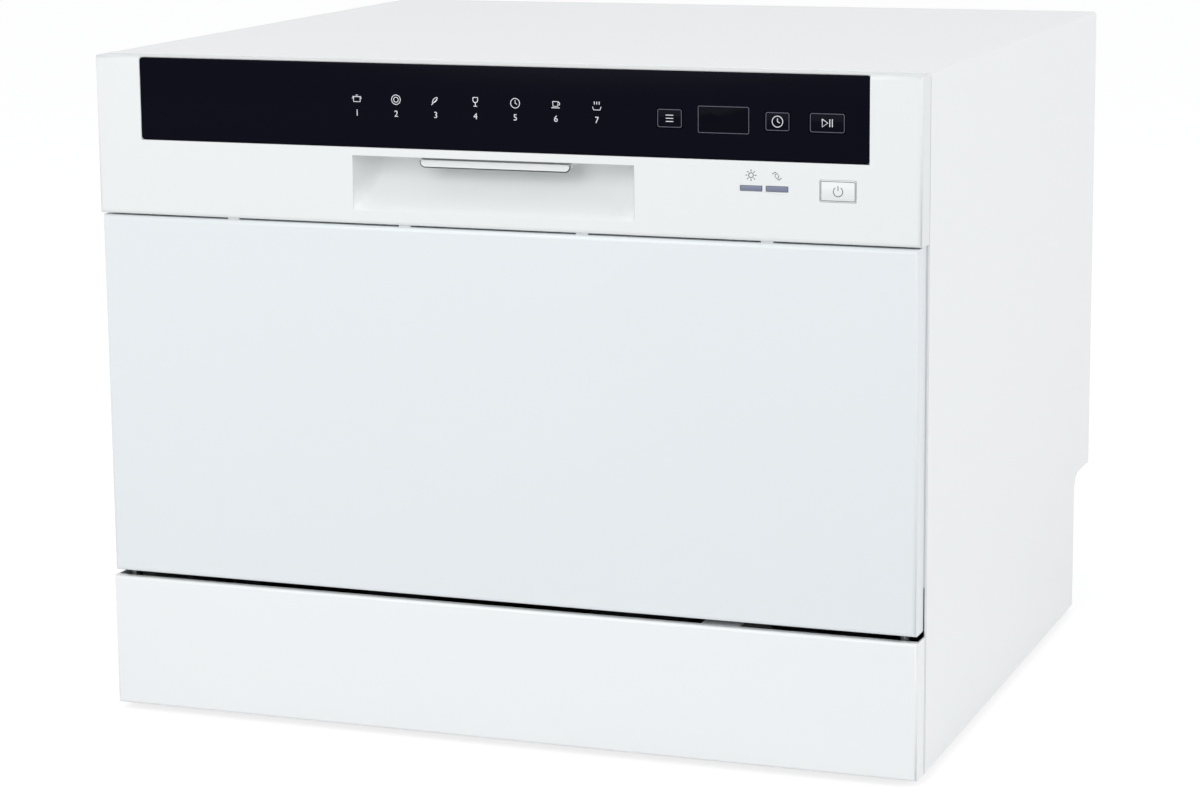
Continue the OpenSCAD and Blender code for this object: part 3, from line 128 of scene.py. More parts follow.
class Group(Wiring):
    """A node group with named inputs and outputs."""

    def __init__(self, name: str, kind: str) -> None:
        """Makes the empty group of the given tree type.

        Args:
            name: the group's name.
            kind: the tree type.
        """
        super().__init__(bpy.data.node_groups.new(name, kind))
        self.inside = self.tree.nodes.new("NodeGroupInput")
        self.outside = self.tree.nodes.new("NodeGroupOutput")

    def takes(self, name: str, kind: str, value: Any = None) -> bpy.types.NodeSocket:
        """Adds an input and returns the socket that carries it inside the group.

        Args:
            name: the input's name.
            kind: its socket type.
            value: its first value.

        Returns:
            The socket that carries it inside the group.
        """
        item = self.tree.interface.new_socket(name, in_out="INPUT", socket_type=kind)
        if value is not None:
            item.default_value = value
        return self.inside.outputs[name]

    def gives(self, name: str, kind: str, source: bpy.types.NodeSocket) -> None:
        """Adds an output and feeds it.

        Args:
            name: the output's name.
            kind: its socket type.
            source: what feeds it.
        """
        self.tree.interface.new_socket(name, in_out="OUTPUT", socket_type=kind)
        self.join(source, self.outside.inputs[name])


# Shared surface effects

def colour_drift() -> Group:
    """Makes the group that lets a colour wander a little in lightness over the surface.

    Returns:
        The new group.
    """
    group = Group("colour_drift", "ShaderNodeTree")
    place = group.takes("Place", "NodeSocketVector")
    colour = group.takes("Colour", "NodeSocketColor", (0.8, 0.8, 0.8, 1.0))
    amount = group.takes("Amount", "NodeSocketFloat", 0.02)
    scale = group.takes("Scale", "NodeSocketFloat", 6.0)
    noise = group.add("ShaderNodeTexNoise", {"Vector": place, "Scale": scale, "Detail": 3.0,
                                               "Roughness": 0.55})
    swing = group.calc("MULTIPLY", group.calc("SUBTRACT", noise.outputs[0], 0.5), amount)
    tint = group.add("ShaderNodeHueSaturation", {"Value": group.calc("ADD", swing, 1.0), "Color": colour})
    group.gives("Colour", "NodeSocketColor", tint.outputs[0])
    return group


def textured(group: Group, height: bpy.types.NodeSocket, wander: bpy.types.NodeSocket, roughness: float,
             spread: float) -> Group:
    """Ends a texture's group with its height and a roughness that wanders about its middle.

    Args:
        group: the group.
        height: what the bump gets.
        wander: what the roughness follows.
        roughness: the first value of the Roughness input.
        spread: the first value of the Spread input.

    Returns:
        The same group.
    """
    middle = group.takes("Roughness", "NodeSocketFloat", roughness)
    reach = group.takes("Spread", "NodeSocketFloat", spread)
    centred = group.calc("SUBTRACT", wander, 0.5)
    group.gives("Height", "NodeSocketFloat", height)
    group.gives("Roughness", "NodeSocketFloat", group.calc("MULTIPLY_ADD", centred, reach, middle))
    return group


def surface_peel() -> Group:
    """Makes the group of a fine even texture: a height for the bump and a roughness that wanders.

    Returns:
        The new group.
    """
    group = Group("surface_peel", "ShaderNodeTree")
    place = group.takes("Place", "NodeSocketVector")
    scale = group.takes("Scale", "NodeSocketFloat", 900.0)
    fine = group.add("ShaderNodeTexNoise", {"Vector": place, "Scale": scale, "Detail": 2.0, "Roughness": 0.5})
    broad = group.add("ShaderNodeTexNoise", {"Vector": place, "Scale": 22.0, "Detail": 4.0})
    return textured(group, fine.outputs[0], broad.outputs[0], 0.4, 0.06)


def brushed_grain() -> Group:
    """Makes the group of long fine scratches, as on rolled or brushed sheet.

    Returns:
        The new group.
    """
    group = Group("brushed_grain", "ShaderNodeTree")
    place = group.takes("Place", "NodeSocketVector")
    stretch = group.takes("Stretch", "NodeSocketVector", (4.0, 300.0, 300.0))
    drawn = group.calc("MULTIPLY", place, stretch, kind="ShaderNodeVectorMath")
    grain = group.add("ShaderNodeTexNoise", {"Vector": drawn, "Scale": 4.0, "Detail": 3.0, "Roughness": 0.6})
    return textured(group, grain.outputs[0], grain.outputs[0], 0.3, 0.2)


def zinc_spangle() -> Group:
    """Makes the group of the crystal pattern of hot-dipped zinc.

    Returns:
        The new group.
    """
    group = Group("zinc_spangle", "ShaderNodeTree")
    place = group.takes("Place", "NodeSocketVector")
    scale = group.takes("Scale", "NodeSocketFloat", 90.0)
    cells = group.add("ShaderNodeTexVoronoi", {"Vector": place, "Scale": scale, "Randomness": 0.9})
    shade = group.add("ShaderNodeSeparateColor", {0: cells.outputs["Color"]})
    return textured(group, shade.outputs[1], shade.outputs[0], 0.4, 0.2)


def fine_dust() -> Group:
    """Makes the group of sparse lighter specks, which lie over a colour.

    Returns:
        The new group.
    """
    group = Group("fine_dust", "ShaderNodeTree")
    place = group.takes("Place", "NodeSocketVector")
    colour = group.takes("Colour", "NodeSocketColor", (0.8, 0.8, 0.8, 1.0))
    dust = group.takes("Dust", "NodeSocketColor", (0.5, 0.5, 0.5, 1.0))
    amount = group.takes("Amount", "NodeSocketFloat", 0.1)
    noise = group.add("ShaderNodeTexNoise", {"Vector": place, "Scale": 140.0, "Detail": 6.0,
                                               "Roughness": 0.7})
    mask = group.add("ShaderNodeMapRange", {"Value": noise.outputs[0], "From Min": 0.52, "From Max": 0.72})
    share = group.calc("MULTIPLY", mask.outputs[0], amount)
    mixed = group.add("ShaderNodeMix", {"Factor": share, 6: colour, 7: dust}, data_type="RGBA")
    group.gives("Colour", "NodeSocketColor", mixed.outputs[2])
    return group


class Grain(Enum):
    """What the close-up texture of a finish is."""

    PEEL = "surface_peel"
    BRUSHED = "brushed_grain"
    SPANGLE = "zinc_spangle"


@dataclass(frozen=True)
class Finish:
    """One finish: its colour, its gloss and the texture that shows from close by."""

    slot: str
    colour: tuple[float, float, float]
    roughness: float
    grain: Grain = Grain.PEEL
    metallic: float = 0.0
    specular: float = 0.5
    coat: float = 0.0
    coat_roughness: float = 0.06
    drift: float = 0.03
    drift_scale: float = 7.0
    bump: float = 0.05
    bump_depth: float = 0.00004
    fine: float = 900.0
    stretch: Point = (4.0, 300.0, 300.0)
    spread: float = 0.08
    dust: float = 0.0

    def material(self, groups: dict[str, Group]) -> bpy.types.Material:
        """Builds the finish as a material.

        Args:
            groups: the shared effects by name.

        Returns:
            The new material.
        """
        material = bpy.data.materials.new("finish_" + self.slot)
        material.use_nodes = True
        colour = (*self.colour, 1.0)
        material.diffuse_color = colour
        wiring = Wiring(material.node_tree)
        shader = material.node_tree.nodes["Principled BSDF"]
        shader.inputs["Metallic"].default_value = self.metallic
        shader.inputs["Specular IOR Level"].default_value = self.specular
        shader.inputs["Coat Weight"].default_value = self.coat
        shader.inputs["Coat Roughness"].default_value = self.coat_roughness
        place = wiring.add("ShaderNodeTexCoord").outputs["Object"]
        shade = wiring.add("ShaderNodeGroup", {"Place": place, "Colour": colour, "Amount": self.drift,
                                               "Scale": self.drift_scale},
                           node_tree=groups["colour_drift"].tree)
        if self.dust > 0:
            shade = wiring.add("ShaderNodeGroup", {"Place": place, "Colour": shade.outputs["Colour"],
                                                   "Amount": self.dust}, node_tree=groups["fine_dust"].tree)
        wiring.join(shade.outputs["Colour"], shader.inputs["Base Color"])
        size = {"Stretch": self.stretch} if self.grain is Grain.BRUSHED else {"Scale": self.fine}
        texture = wiring.add("ShaderNodeGroup", {"Place": place, "Roughness": self.roughness,
                                                 "Spread": self.spread, **size},
                             node_tree=groups[self.grain.value].tree)
        wiring.join(texture.outputs["Roughness"], shader.inputs["Roughness"])
        bump = wiring.add("ShaderNodeBump", {"Strength": self.bump, "Distance": self.bump_depth,
                                             "Height": texture.outputs["Height"]})
        wiring.join(bump.outputs["Normal"], shader.inputs["Normal"])
        return material


FINISHES = (
    Finish("white_steel", srgb(235, 237, 238), 0.32, drift=0.012, bump=0.25, fine=420.0, spread=0.05,
           coat=0.15),
    Finish("door_white", srgb(224, 229, 231), 0.30, drift=0.012, bump=0.25, fine=420.0, spread=0.05,
           coat=0.15),
    Finish("white_plastic", srgb(229, 231, 231), 0.38, drift=0.01, bump=0.15, fine=1300.0, spread=0.06),
    Finish("galvanised", srgb(186, 190, 194), 0.42, grain=Grain.SPANGLE, metallic=0.85, drift=0.10,
           drift_scale=60.0, bump=0.12, fine=85.0, spread=0.22),
    Finish("stainless", srgb(200, 201, 203), 0.28, grain=Grain.BRUSHED, metallic=1.0, drift=0.04,
           bump=0.12, spread=0.22),
    Finish("bright_steel", srgb(205, 206, 208), 0.22, grain=Grain.BRUSHED, metallic=1.0, drift=0.05,
           bump=0.05, spread=0.15, stretch=(120.0, 120.0, 900.0)),
    Finish("spring_steel", srgb(120, 122, 126), 0.38, grain=Grain.BRUSHED, metallic=1.0, drift=0.10,
           bump=0.2, stretch=(600.0, 600.0, 40.0), spread=0.2),
    Finish("seal_rubber", srgb(120, 123, 128), 0.62, drift=0.05, bump=0.3, fine=2200.0, dust=0.05,
           specular=0.35),
    Finish("foot_rubber", srgb(52, 53, 55), 0.7, drift=0.08, bump=0.4, fine=1500.0, dust=0.10, specular=0.3),
    Finish("black_gloss", srgb(9, 10, 21), 0.16, drift=0.05, bump=0.02, fine=700.0, spread=0.03,
           specular=0.025),
    Finish("display_glass", srgb(10, 11, 19), 0.10, drift=0.04, bump=0.01, fine=600.0, spread=0.02,
           specular=0.02),
    Finish("lamp_lens", srgb(112, 118, 142), 0.28, drift=0.04, bump=0.1, fine=1200.0, coat=0.2),
    Finish("circuit_board", srgb(36, 92, 58), 0.45, drift=0.12, drift_scale=120.0, bump=0.3, fine=500.0),
    Finish("dark_plastic", srgb(52, 54, 58), 0.5, drift=0.06, bump=0.35, fine=1600.0, dust=0.06),
    Finish("grey_plastic", srgb(158, 162, 168), 0.42, drift=0.04, bump=0.25, fine=1500.0),
    Finish("pale_plastic", srgb(214, 216, 217), 0.42, drift=0.03, bump=0.2, fine=1400.0),
    Finish("coated_wire", srgb(176, 181, 187), 0.36, drift=0.05, drift_scale=25.0, bump=0.25, fine=1100.0,
           coat=0.2),
    Finish("hose_rubber", srgb(60, 61, 64), 0.6, drift=0.06, bump=0.3, fine=1300.0, dust=0.05),
    Finish("print_white", srgb(222, 224, 230), 0.45, drift=0.03, bump=0.05, fine=3000.0, specular=0.3),
    Finish("print_grey", srgb(92, 96, 110), 0.45, drift=0.03, bump=0.05, fine=3000.0, specular=0.3),
    # Dark ink for prints; the same finish also paints the shade in the gap round the handle lever.
    Finish("dark_print_and_gap_shade", srgb(58, 61, 70), 0.5, drift=0.03, bump=0.05, fine=3000.0, specular=0.3),
    # Near-black for the filter's holes: painted shade that stands for the dark inside them.
    Finish("painted_hole_shade", srgb(24, 25, 28), 0.7, drift=0.05, bump=0.05, fine=900.0, specular=0.2),
)


class Palette:
    """Every material, built once and found by its slot."""

    def __init__(self) -> None:
        """Builds the shared effects and all the finishes."""
        makers = (colour_drift, surface_peel, brushed_grain, zinc_spangle, fine_dust)
        groups = {maker.__name__: maker() for maker in makers}
        self.materials = {finish.slot: finish.material(groups) for finish in FINISHES}

    def __getitem__(self, slot: str) -> bpy.types.Material:
        """Gives the material of a slot."""
        return self.materials[slot]


# Meshes

def mesh_object(name: str, shape: bmesh.types.BMesh) -> bpy.types.Object:
    """Turns a bmesh into an object at the origin and frees the bmesh.

    Args:
        name: the object's name.
        shape: the bmesh.

    Returns:
        The new object.
    """
    mesh = bpy.data.meshes.new(name)
    shape.to_mesh(mesh)
    shape.free()
    piece = bpy.data.objects.new(name, mesh)
    bpy.context.scene.collection.objects.link(piece)
    return piece


def bake(piece: bpy.types.Object) -> bpy.types.Object:
    """Replaces an object's mesh by the result of its modifiers, which go.

    Args:
        piece: the object.

    Returns:
        The same object.
    """
    mesh = bpy.data.meshes.new_from_object(piece.evaluated_get(bpy.context.evaluated_depsgraph_get()))
    piece.modifiers.clear()
    piece.data = mesh
    return piece


def smooth(piece: bpy.types.Object, angle: float = 35.0) -> bpy.types.Object:
    """Shades an object smooth, with sharp edges past an angle in degrees.

    Args:
        piece: the object.
        angle: the angle past which an edge is sharp.

    Returns:
        The same object.
    """
    piece.data.shade_smooth()
    piece.data.set_sharp_from_angle(angle=math.radians(angle))
    return piece


def bevelled(piece: bpy.types.Object, width: float, segments: int = 2,
             limit: float = 35.0) -> bpy.types.Object:
    """Eases the sharp edges of an object that have room for it, and bakes the result.

    Args:
        piece: the object.
        width: the width of the eased edge.
        segments: how many facets the edge gets.
        limit: the least angle in degrees of an edge that is eased.

    Returns:
        The same object with its new mesh.
    """
    shape = bmesh.new()
    shape.from_mesh(piece.data)
    shape.normal_update()
    weight = shape.edges.layers.float.new("bevel_weight_edge")
    room = 2.3 * width
    roomy = {vert for vert in shape.verts if all(edge.calc_length() > room for edge in vert.link_edges)}
    for edge in shape.edges:
        if edge.is_manifold and edge.calc_face_angle() > math.radians(limit):
            edge[weight] = 1.0 if set(edge.verts) <= roomy else 0.0
    shape.to_mesh(piece.data)
    shape.free()
    edge = piece.modifiers.new("edge", "BEVEL")
    edge.width = width
    edge.segments = segments
    edge.limit_method = "WEIGHT"
    edge.use_clamp_overlap = False
    bake(piece)
    smooth(piece, 50.0)
    normals = piece.modifiers.new("normals", "WEIGHTED_NORMAL")
    normals.weight = 60
    normals.keep_sharp = True
    return bake(piece)


def merged(node: str) -> bmesh.types.BMesh:
    """Gives a copy of a CAD node's mesh with its doubles merged and its triangles paired.

    Args:
        node: the CAD node.

    Returns:
        The new bmesh.
    """
    shape = bmesh.new()
    shape.from_mesh(frame["nodes"][node].data)
    bmesh.ops.remove_doubles(shape, verts=shape.verts, dist=WELD)
    bmesh.ops.join_triangles(shape, faces=shape.faces, angle_face_threshold=math.radians(0.2),
                             angle_shape_threshold=math.pi)
    return shape


def softened(node: str, width: float, segments: int = 2) -> bpy.types.Object:
    """Makes a copy of a CAD node with eased edges.

    Args:
        node: the CAD node's name.
        width: the width of the eased edges.
        segments: how many facets each edge gets.

    Returns:
        The new object, which doesn't yet ride or replace.
    """
    return bevelled(mesh_object(node + "_form", merged(node)), width, segments)


def add_box(shape: bmesh.types.BMesh, low: Sequence[float], high: Sequence[float]) -> None:
    """Adds a box between two corners to a bmesh.

    Args:
        shape: the bmesh.
        low: the lower corner.
        high: the upper corner.
    """
    size = Vector(high) - Vector(low)
    place = Matrix.Translation((Vector(high) + Vector(low)) / 2) @ Matrix.Diagonal((*size, 1.0))
    bmesh.ops.create_cube(shape, size=1.0, matrix=place)


def boxes(name: str, spans: Iterable[tuple[Sequence[float], Sequence[float]]]) -> bpy.types.Object:
    """Makes one object of several boxes, each given by two corners.

    Args:
        name: the object's name.
        spans: the lower and the upper corner of each box.

    Returns:
        The new object.
    """
    shape = bmesh.new()
    for low, high in spans:
        add_box(shape, low, high)
    return mesh_object(name, shape)


def cut(piece: bpy.types.Object, tool: bpy.types.Object, join: bool = False) -> bpy.types.Object:
    """Cuts a tool out of an object, or joins it on, and removes the tool.

    Args:
        piece: the object.
        tool: the object that cuts it or is joined on.
        join: whether the tool is joined on.

    Returns:
        The same object.
    """
    step = piece.modifiers.new("cut", "BOOLEAN")
    step.operation = "UNION" if join else "DIFFERENCE"
    step.solver = "EXACT"
    step.object = tool
    bake(piece)
    bpy.data.objects.remove(tool)
    return piece


def joined(name: str, pieces: Sequence[bpy.types.Object]) -> bpy.types.Object:
    """Joins the meshes of several objects into one new object and removes them.

    Args:
        name: the new object's name.
        pieces: the objects.

    Returns:
        The new object.
    """
    shape = bmesh.new()
    for piece in pieces:
        shape.from_mesh(piece.data)
        bpy.data.objects.remove(piece)
    return mesh_object(name, shape)


def rounded_rect(u0: float, u1: float, v0: float, v1: float, radius: float, steps: int = 6) -> list[Flat]:
    """Gives the points round a rectangle with round corners, anticlockwise.

    Args:
        u0: the left side.
        u1: the right side.
        v0: the lower side.
        v1: the upper side.
        radius: the corners' radius.
        steps: how many steps each corner takes.

    Returns:
        The points, steps + 1 of them at each corner.
    """
    r = max(min(radius, (u1 - u0) / 2, (v1 - v0) / 2), 0.01 * MM)
    corners = ((u1 - r, v1 - r, 0), (u0 + r, v1 - r, 90), (u0 + r, v0 + r, 180), (u1 - r, v0 + r, 270))
    points = []
    for u, v, start in corners:
        for step in range(steps + 1):
            angle = math.radians(start + 90 * step / steps)
            points.append((u + r * math.cos(angle), v + r * math.sin(angle)))
    return points


def loft(name: str, rings: Sequence[Sequence[Point]], closed: bool = False) -> bpy.types.Object:
    """Makes a solid from rings of points, capped at both ends or closed on itself.

    Args:
        name: the object's name.
        rings: the rings in order, each with as many points.
        closed: whether the last ring joins the first, as on a frame.

    Returns:
        The new object, its faces outwards.
    """
    shape = bmesh.new()
    rows = [[shape.verts.new(point) for point in ring] for ring in rings]
    count = len(rows[0])
    pairs = list(zip(rows, rows[1:]))
    if closed:
        pairs.append((rows[-1], rows[0]))
    for first, second in pairs:
        for i in range(count):
            j = (i + 1) % count
            shape.faces.new((first[i], first[j], second[j], second[i]))
    if not closed:
        shape.faces.new(rows[0])
        shape.faces.new(rows[-1])
    bmesh.ops.recalc_face_normals(shape, faces=shape.faces)
    return mesh_object(name, shape)


def circle(radius: float, steps: int) -> list[Flat]:
    """Gives evenly spaced points round a circle."""
    turns = [2 * math.pi * step / steps for step in range(steps)]
    return [(radius * math.cos(turn), radius * math.sin(turn)) for turn in turns]


def lathe(name: str, profile: Sequence[Flat], centre: Point, axis: str, steps: int = 48,
          closed: bool = False) -> bpy.types.Object:
    """Turns a profile about an axis.

    Args:
        name: the object's name.
        profile: points as distance along the axis and radius.
        centre: where the distance along the axis is nought.
        axis: x, y or z.
        steps: how many steps make the turn.
        closed: whether the profile closes on itself, as on a ring.

    Returns:
        The new object.
    """
    order = {"x": (0, 1, 2), "y": (1, 2, 0), "z": (2, 0, 1)}[axis]
    rings = []
    for along, radius in profile:
        ring = []
        for across, up in circle(max(radius, POLE_R), steps):
            point = [0.0, 0.0, 0.0]
            for part, k in zip((along, across, up), order):
                point[k] = part + centre[k]
            ring.append(tuple(point))
        rings.append(ring)
    return loft(name, rings, closed)


def pillow(name: str, u: Flat, v: Flat, y: Flat, edge: float, corner: float,
           steps: int = 4) -> bpy.types.Object:
    """Makes a solid slab whose front edge is rounded all the way round.

    Args:
        name: the object's name.
        u: the left and right sides.
        v: the lower and upper sides.
        y: the front and back.
        edge: the radius of the front edge.
        corner: the radius of the corners, seen from the front.
        steps: how many facets the front edge gets.

    Returns:
        The new object.
    """
    rings = []
    for step in range(steps + 1):
        angle = math.pi / 2 * step / steps
        inset = edge * (1 - math.sin(angle))
        depth = y[0] + edge * (1 - math.cos(angle))
        outline = rounded_rect(u[0] + inset, u[1] - inset, v[0] + inset, v[1] - inset, corner - inset)
        rings.append([(a, depth, b) for a, b in outline])
    rings.append([(a, y[1], b) for a, b in rounded_rect(u[0], u[1], v[0], v[1], corner)])
    return loft(name, rings)


# Geometry Nodes

def finished_tree(group: Group, made: bpy.types.NodeSocket) -> Group:
    """Ends a tree: what it made becomes real and takes the material that the tree is given.

    Args:
        group: the tree.
        made: the socket of what it made.

    Returns:
        The same tree.
    """
    material = group.takes("Material", "NodeSocketMaterial")
    real = group.add("GeometryNodeRealizeInstances", {0: made})
    dressed = group.add("GeometryNodeSetMaterial", {"Geometry": real.outputs[0], "Material": material})
    group.gives("Geometry", "NodeSocketGeometry", dressed.outputs[0])
    return group


def wire_tree() -> Group:
    """Makes the tree that turns a path of edges into round wire with filleted bends.

    Returns:
        The new group.
    """
    group = Group("bent_wire", "GeometryNodeTree")
    path = group.takes("Geometry", "NodeSocketGeometry")
    radius = group.takes("Radius", "NodeSocketFloat", 1.6 * MM)
    bend = group.takes("Bend", "NodeSocketFloat", 6 * MM)
    sides = group.takes("Sides", "NodeSocketInt", 8)
    squash = group.takes("Squash", "NodeSocketVector", (1.0, 1.0, 1.0))
    centre = group.takes("Centre", "NodeSocketVector", ORIGIN)
    curve = group.add("GeometryNodeMeshToCurve", {0: path})
    fillet = group.add("GeometryNodeFilletCurve", {"Curve": curve.outputs[0], "Radius": bend, "Count": 4,
                                                   "Limit Radius": True}, mode="POLY")
    profile = group.add("GeometryNodeCurvePrimitiveCircle", {"Resolution": sides, "Radius": radius})
    tube = group.add("GeometryNodeCurveToMesh", {"Curve": fillet.outputs[0], "Fill Caps": True,
                                                 "Profile Curve": profile.outputs[0]})
    position = group.add("GeometryNodeInputPosition").outputs[0]
    away = group.calc("SUBTRACT", position, centre, kind="ShaderNodeVectorMath")
    scaled = group.calc("MULTIPLY_ADD", away, squash, centre, kind="ShaderNodeVectorMath")
    flattened = group.add("GeometryNodeSetPosition", {"Geometry": tube.outputs[0], "Position": scaled})
    return finished_tree(group, flattened.outputs[0])


def copies_tree() -> Group:
    """Makes the tree that sets a copy of an object at each point, turned as the point says.

    Returns:
        The new group.
    """
    group = Group("set_copies", "GeometryNodeTree")
    points = group.takes("Geometry", "NodeSocketGeometry")
    copied = group.takes("Copy", "NodeSocketObject")
    info = group.add("GeometryNodeObjectInfo", {"Object": copied, "As Instance": True})
    turn = group.add("GeometryNodeInputNamedAttribute", {"Name": "turn"}, data_type="FLOAT_VECTOR")
    placed = group.add("GeometryNodeInstanceOnPoints", {"Points": points, "Rotation": turn.outputs[0],
                                                        "Instance": info.outputs["Geometry"]})
    return finished_tree(group, placed.outputs[0])


class Workshop:
    """What every sub-assembly needs: the materials, the shared trees, and the calls that place a piece."""

    def __init__(self) -> None:
        """Builds the materials and the trees."""
        self.palette = Palette()
        self.wire = wire_tree()
        self.copies = copies_tree()

    def grow(self, piece: bpy.types.Object, group: Group, values: dict[str, Any]) -> bpy.types.Object:
        """Runs a tree on an object and keeps the result as its plain mesh.

        Args:
            piece: the object that the tree reads.
            group: the tree.
            values: the tree's inputs by name.

        Returns:
            The same object with its new mesh.
        """
        step = piece.modifiers.new("grow", "NODES")
        step.node_group = group.tree
        for item in group.tree.interface.items_tree:
            if item.in_out == "INPUT" and item.name in values:
                step[item.identifier] = values[item.name]
        return bake(piece)

    def wires(self, name: str, paths: Iterable[Sequence[Point]], radius: float, slot: str, bend: float = 0.0,
              sides: int = 8, loops: bool = False, squash: Point = (1.0, 1.0, 1.0),
              centre: Point = ORIGIN) -> bpy.types.Object:
        """Makes wires along paths of points.

        Args:
            name: the object's name.
            paths: the paths, each a list of points.
            radius: the wire's radius.
            slot: the finish.
            bend: the radius of the bends.
            sides: how many sides the wire has.
            loops: whether each path closes on itself.
            squash: how the result is scaled about the centre, to flatten ink.
            centre: the point that stays where it is.

        Returns:
            The new object.
        """
        shape = bmesh.new()
        for path in paths:
            verts = [shape.verts.new(point) for point in path]
            for first, second in zip(verts, verts[1:]):
                shape.edges.new((first, second))
            if loops:
                shape.edges.new((verts[-1], verts[0]))
        piece = mesh_object(name, shape)
        self.grow(piece, self.wire, {"Radius": radius, "Bend": bend, "Sides": sides, "Squash": squash,
                                     "Centre": centre, "Material": self.palette[slot]})
        return smooth(piece, 50)

    def scatter(self, name: str, copied: bpy.types.Object, places: Sequence[Point], slot: str,
                turns: Sequence[Point] | None = None) -> bpy.types.Object:
        """Sets copies of an object at places and removes the original.

        Args:
            name: the object's name.
            copied: the object that is repeated.
            places: where the copies go.
            slot: the finish.
            turns: how each copy is turned, as angles about the axes.

        Returns:
            The new object.
        """
        shape = bmesh.new()
        for place in places:
            shape.verts.new(place)
        piece = mesh_object(name, shape)
        turn = piece.data.attributes.new("turn", "FLOAT_VECTOR", "POINT")
        for item, value in zip(turn.data, turns or [ORIGIN] * len(places)):
            item.vector = value
        self.grow(piece, self.copies, {"Copy": copied, "Material": self.palette[slot]})
        bpy.data.objects.remove(copied)
        return piece

    def place(self, piece: bpy.types.Object, body: str, slot: str, *nodes: str,
              finish: str = "") -> bpy.types.Object:
        """Dresses a piece, sets it on its body and hides the CAD nodes that it stands for.

        Args:
            piece: the finished object.
            body: the CAD body that it rides on.
            slot: the material slot of the record, or a print.
            nodes: the CAD nodes that it replaces.
            finish: the finish, where it isn't the slot's own.

        Returns:
            The same object.
        """
        material = self.palette[finish or slot]
        piece.data.materials.clear()
        piece.data.materials.append(material)
        for polygon in piece.data.polygons:
            polygon.material_index = 0
        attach(piece, body)
        if nodes:
            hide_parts(*nodes)
        LOG.info("%s on %s, %d faces", piece.name, body, len(piece.data.polygons))
        return piece

    def soften(self, node: str, body: str, slot: str, width: float, segments: int = 2) -> bpy.types.Object:
        """Replaces a CAD node by a copy of it with eased edges."""
        return self.place(softened(node, width, segments), body, slot, node)

    def dress_rest(self) -> None:
        """Gives every CAD node that still shows its finish."""
        slots = {part["node"]: part["material_slot"] for part in frame["record"]["subparts"]}
        for name, node in frame["nodes"].items():
            node.data.materials.clear()
            node.data.materials.append(self.palette[slots[name]])


# Sub-assemblies

def screw_head(radius: float, height: float) -> bpy.types.Object:
    """Makes a pan head with a cross recess that faces +Y, its seat at the origin.

    Args:
        radius: the head's radius.
        height: the head's height.

    Returns:
        The new object.
    """
    dome = [(0.0, 0.0), (0.0, radius), (0.45 * height, radius), (0.75 * height, 0.9 * radius),
            (0.95 * height, 0.68 * radius), (height, 0.3 * radius), (height, 0.0)]
    head = lathe("screw", dome, ORIGIN, "y", 20)
    slot, reach = 0.16 * radius, 0.62 * radius
    near, far = 0.35 * height, 1.2 * height
    for across, up in ((slot, reach), (reach, slot)):
        cut(head, boxes("cross", [((-across, near, -up), (across, far, up))]))
    return smooth(head, 40)


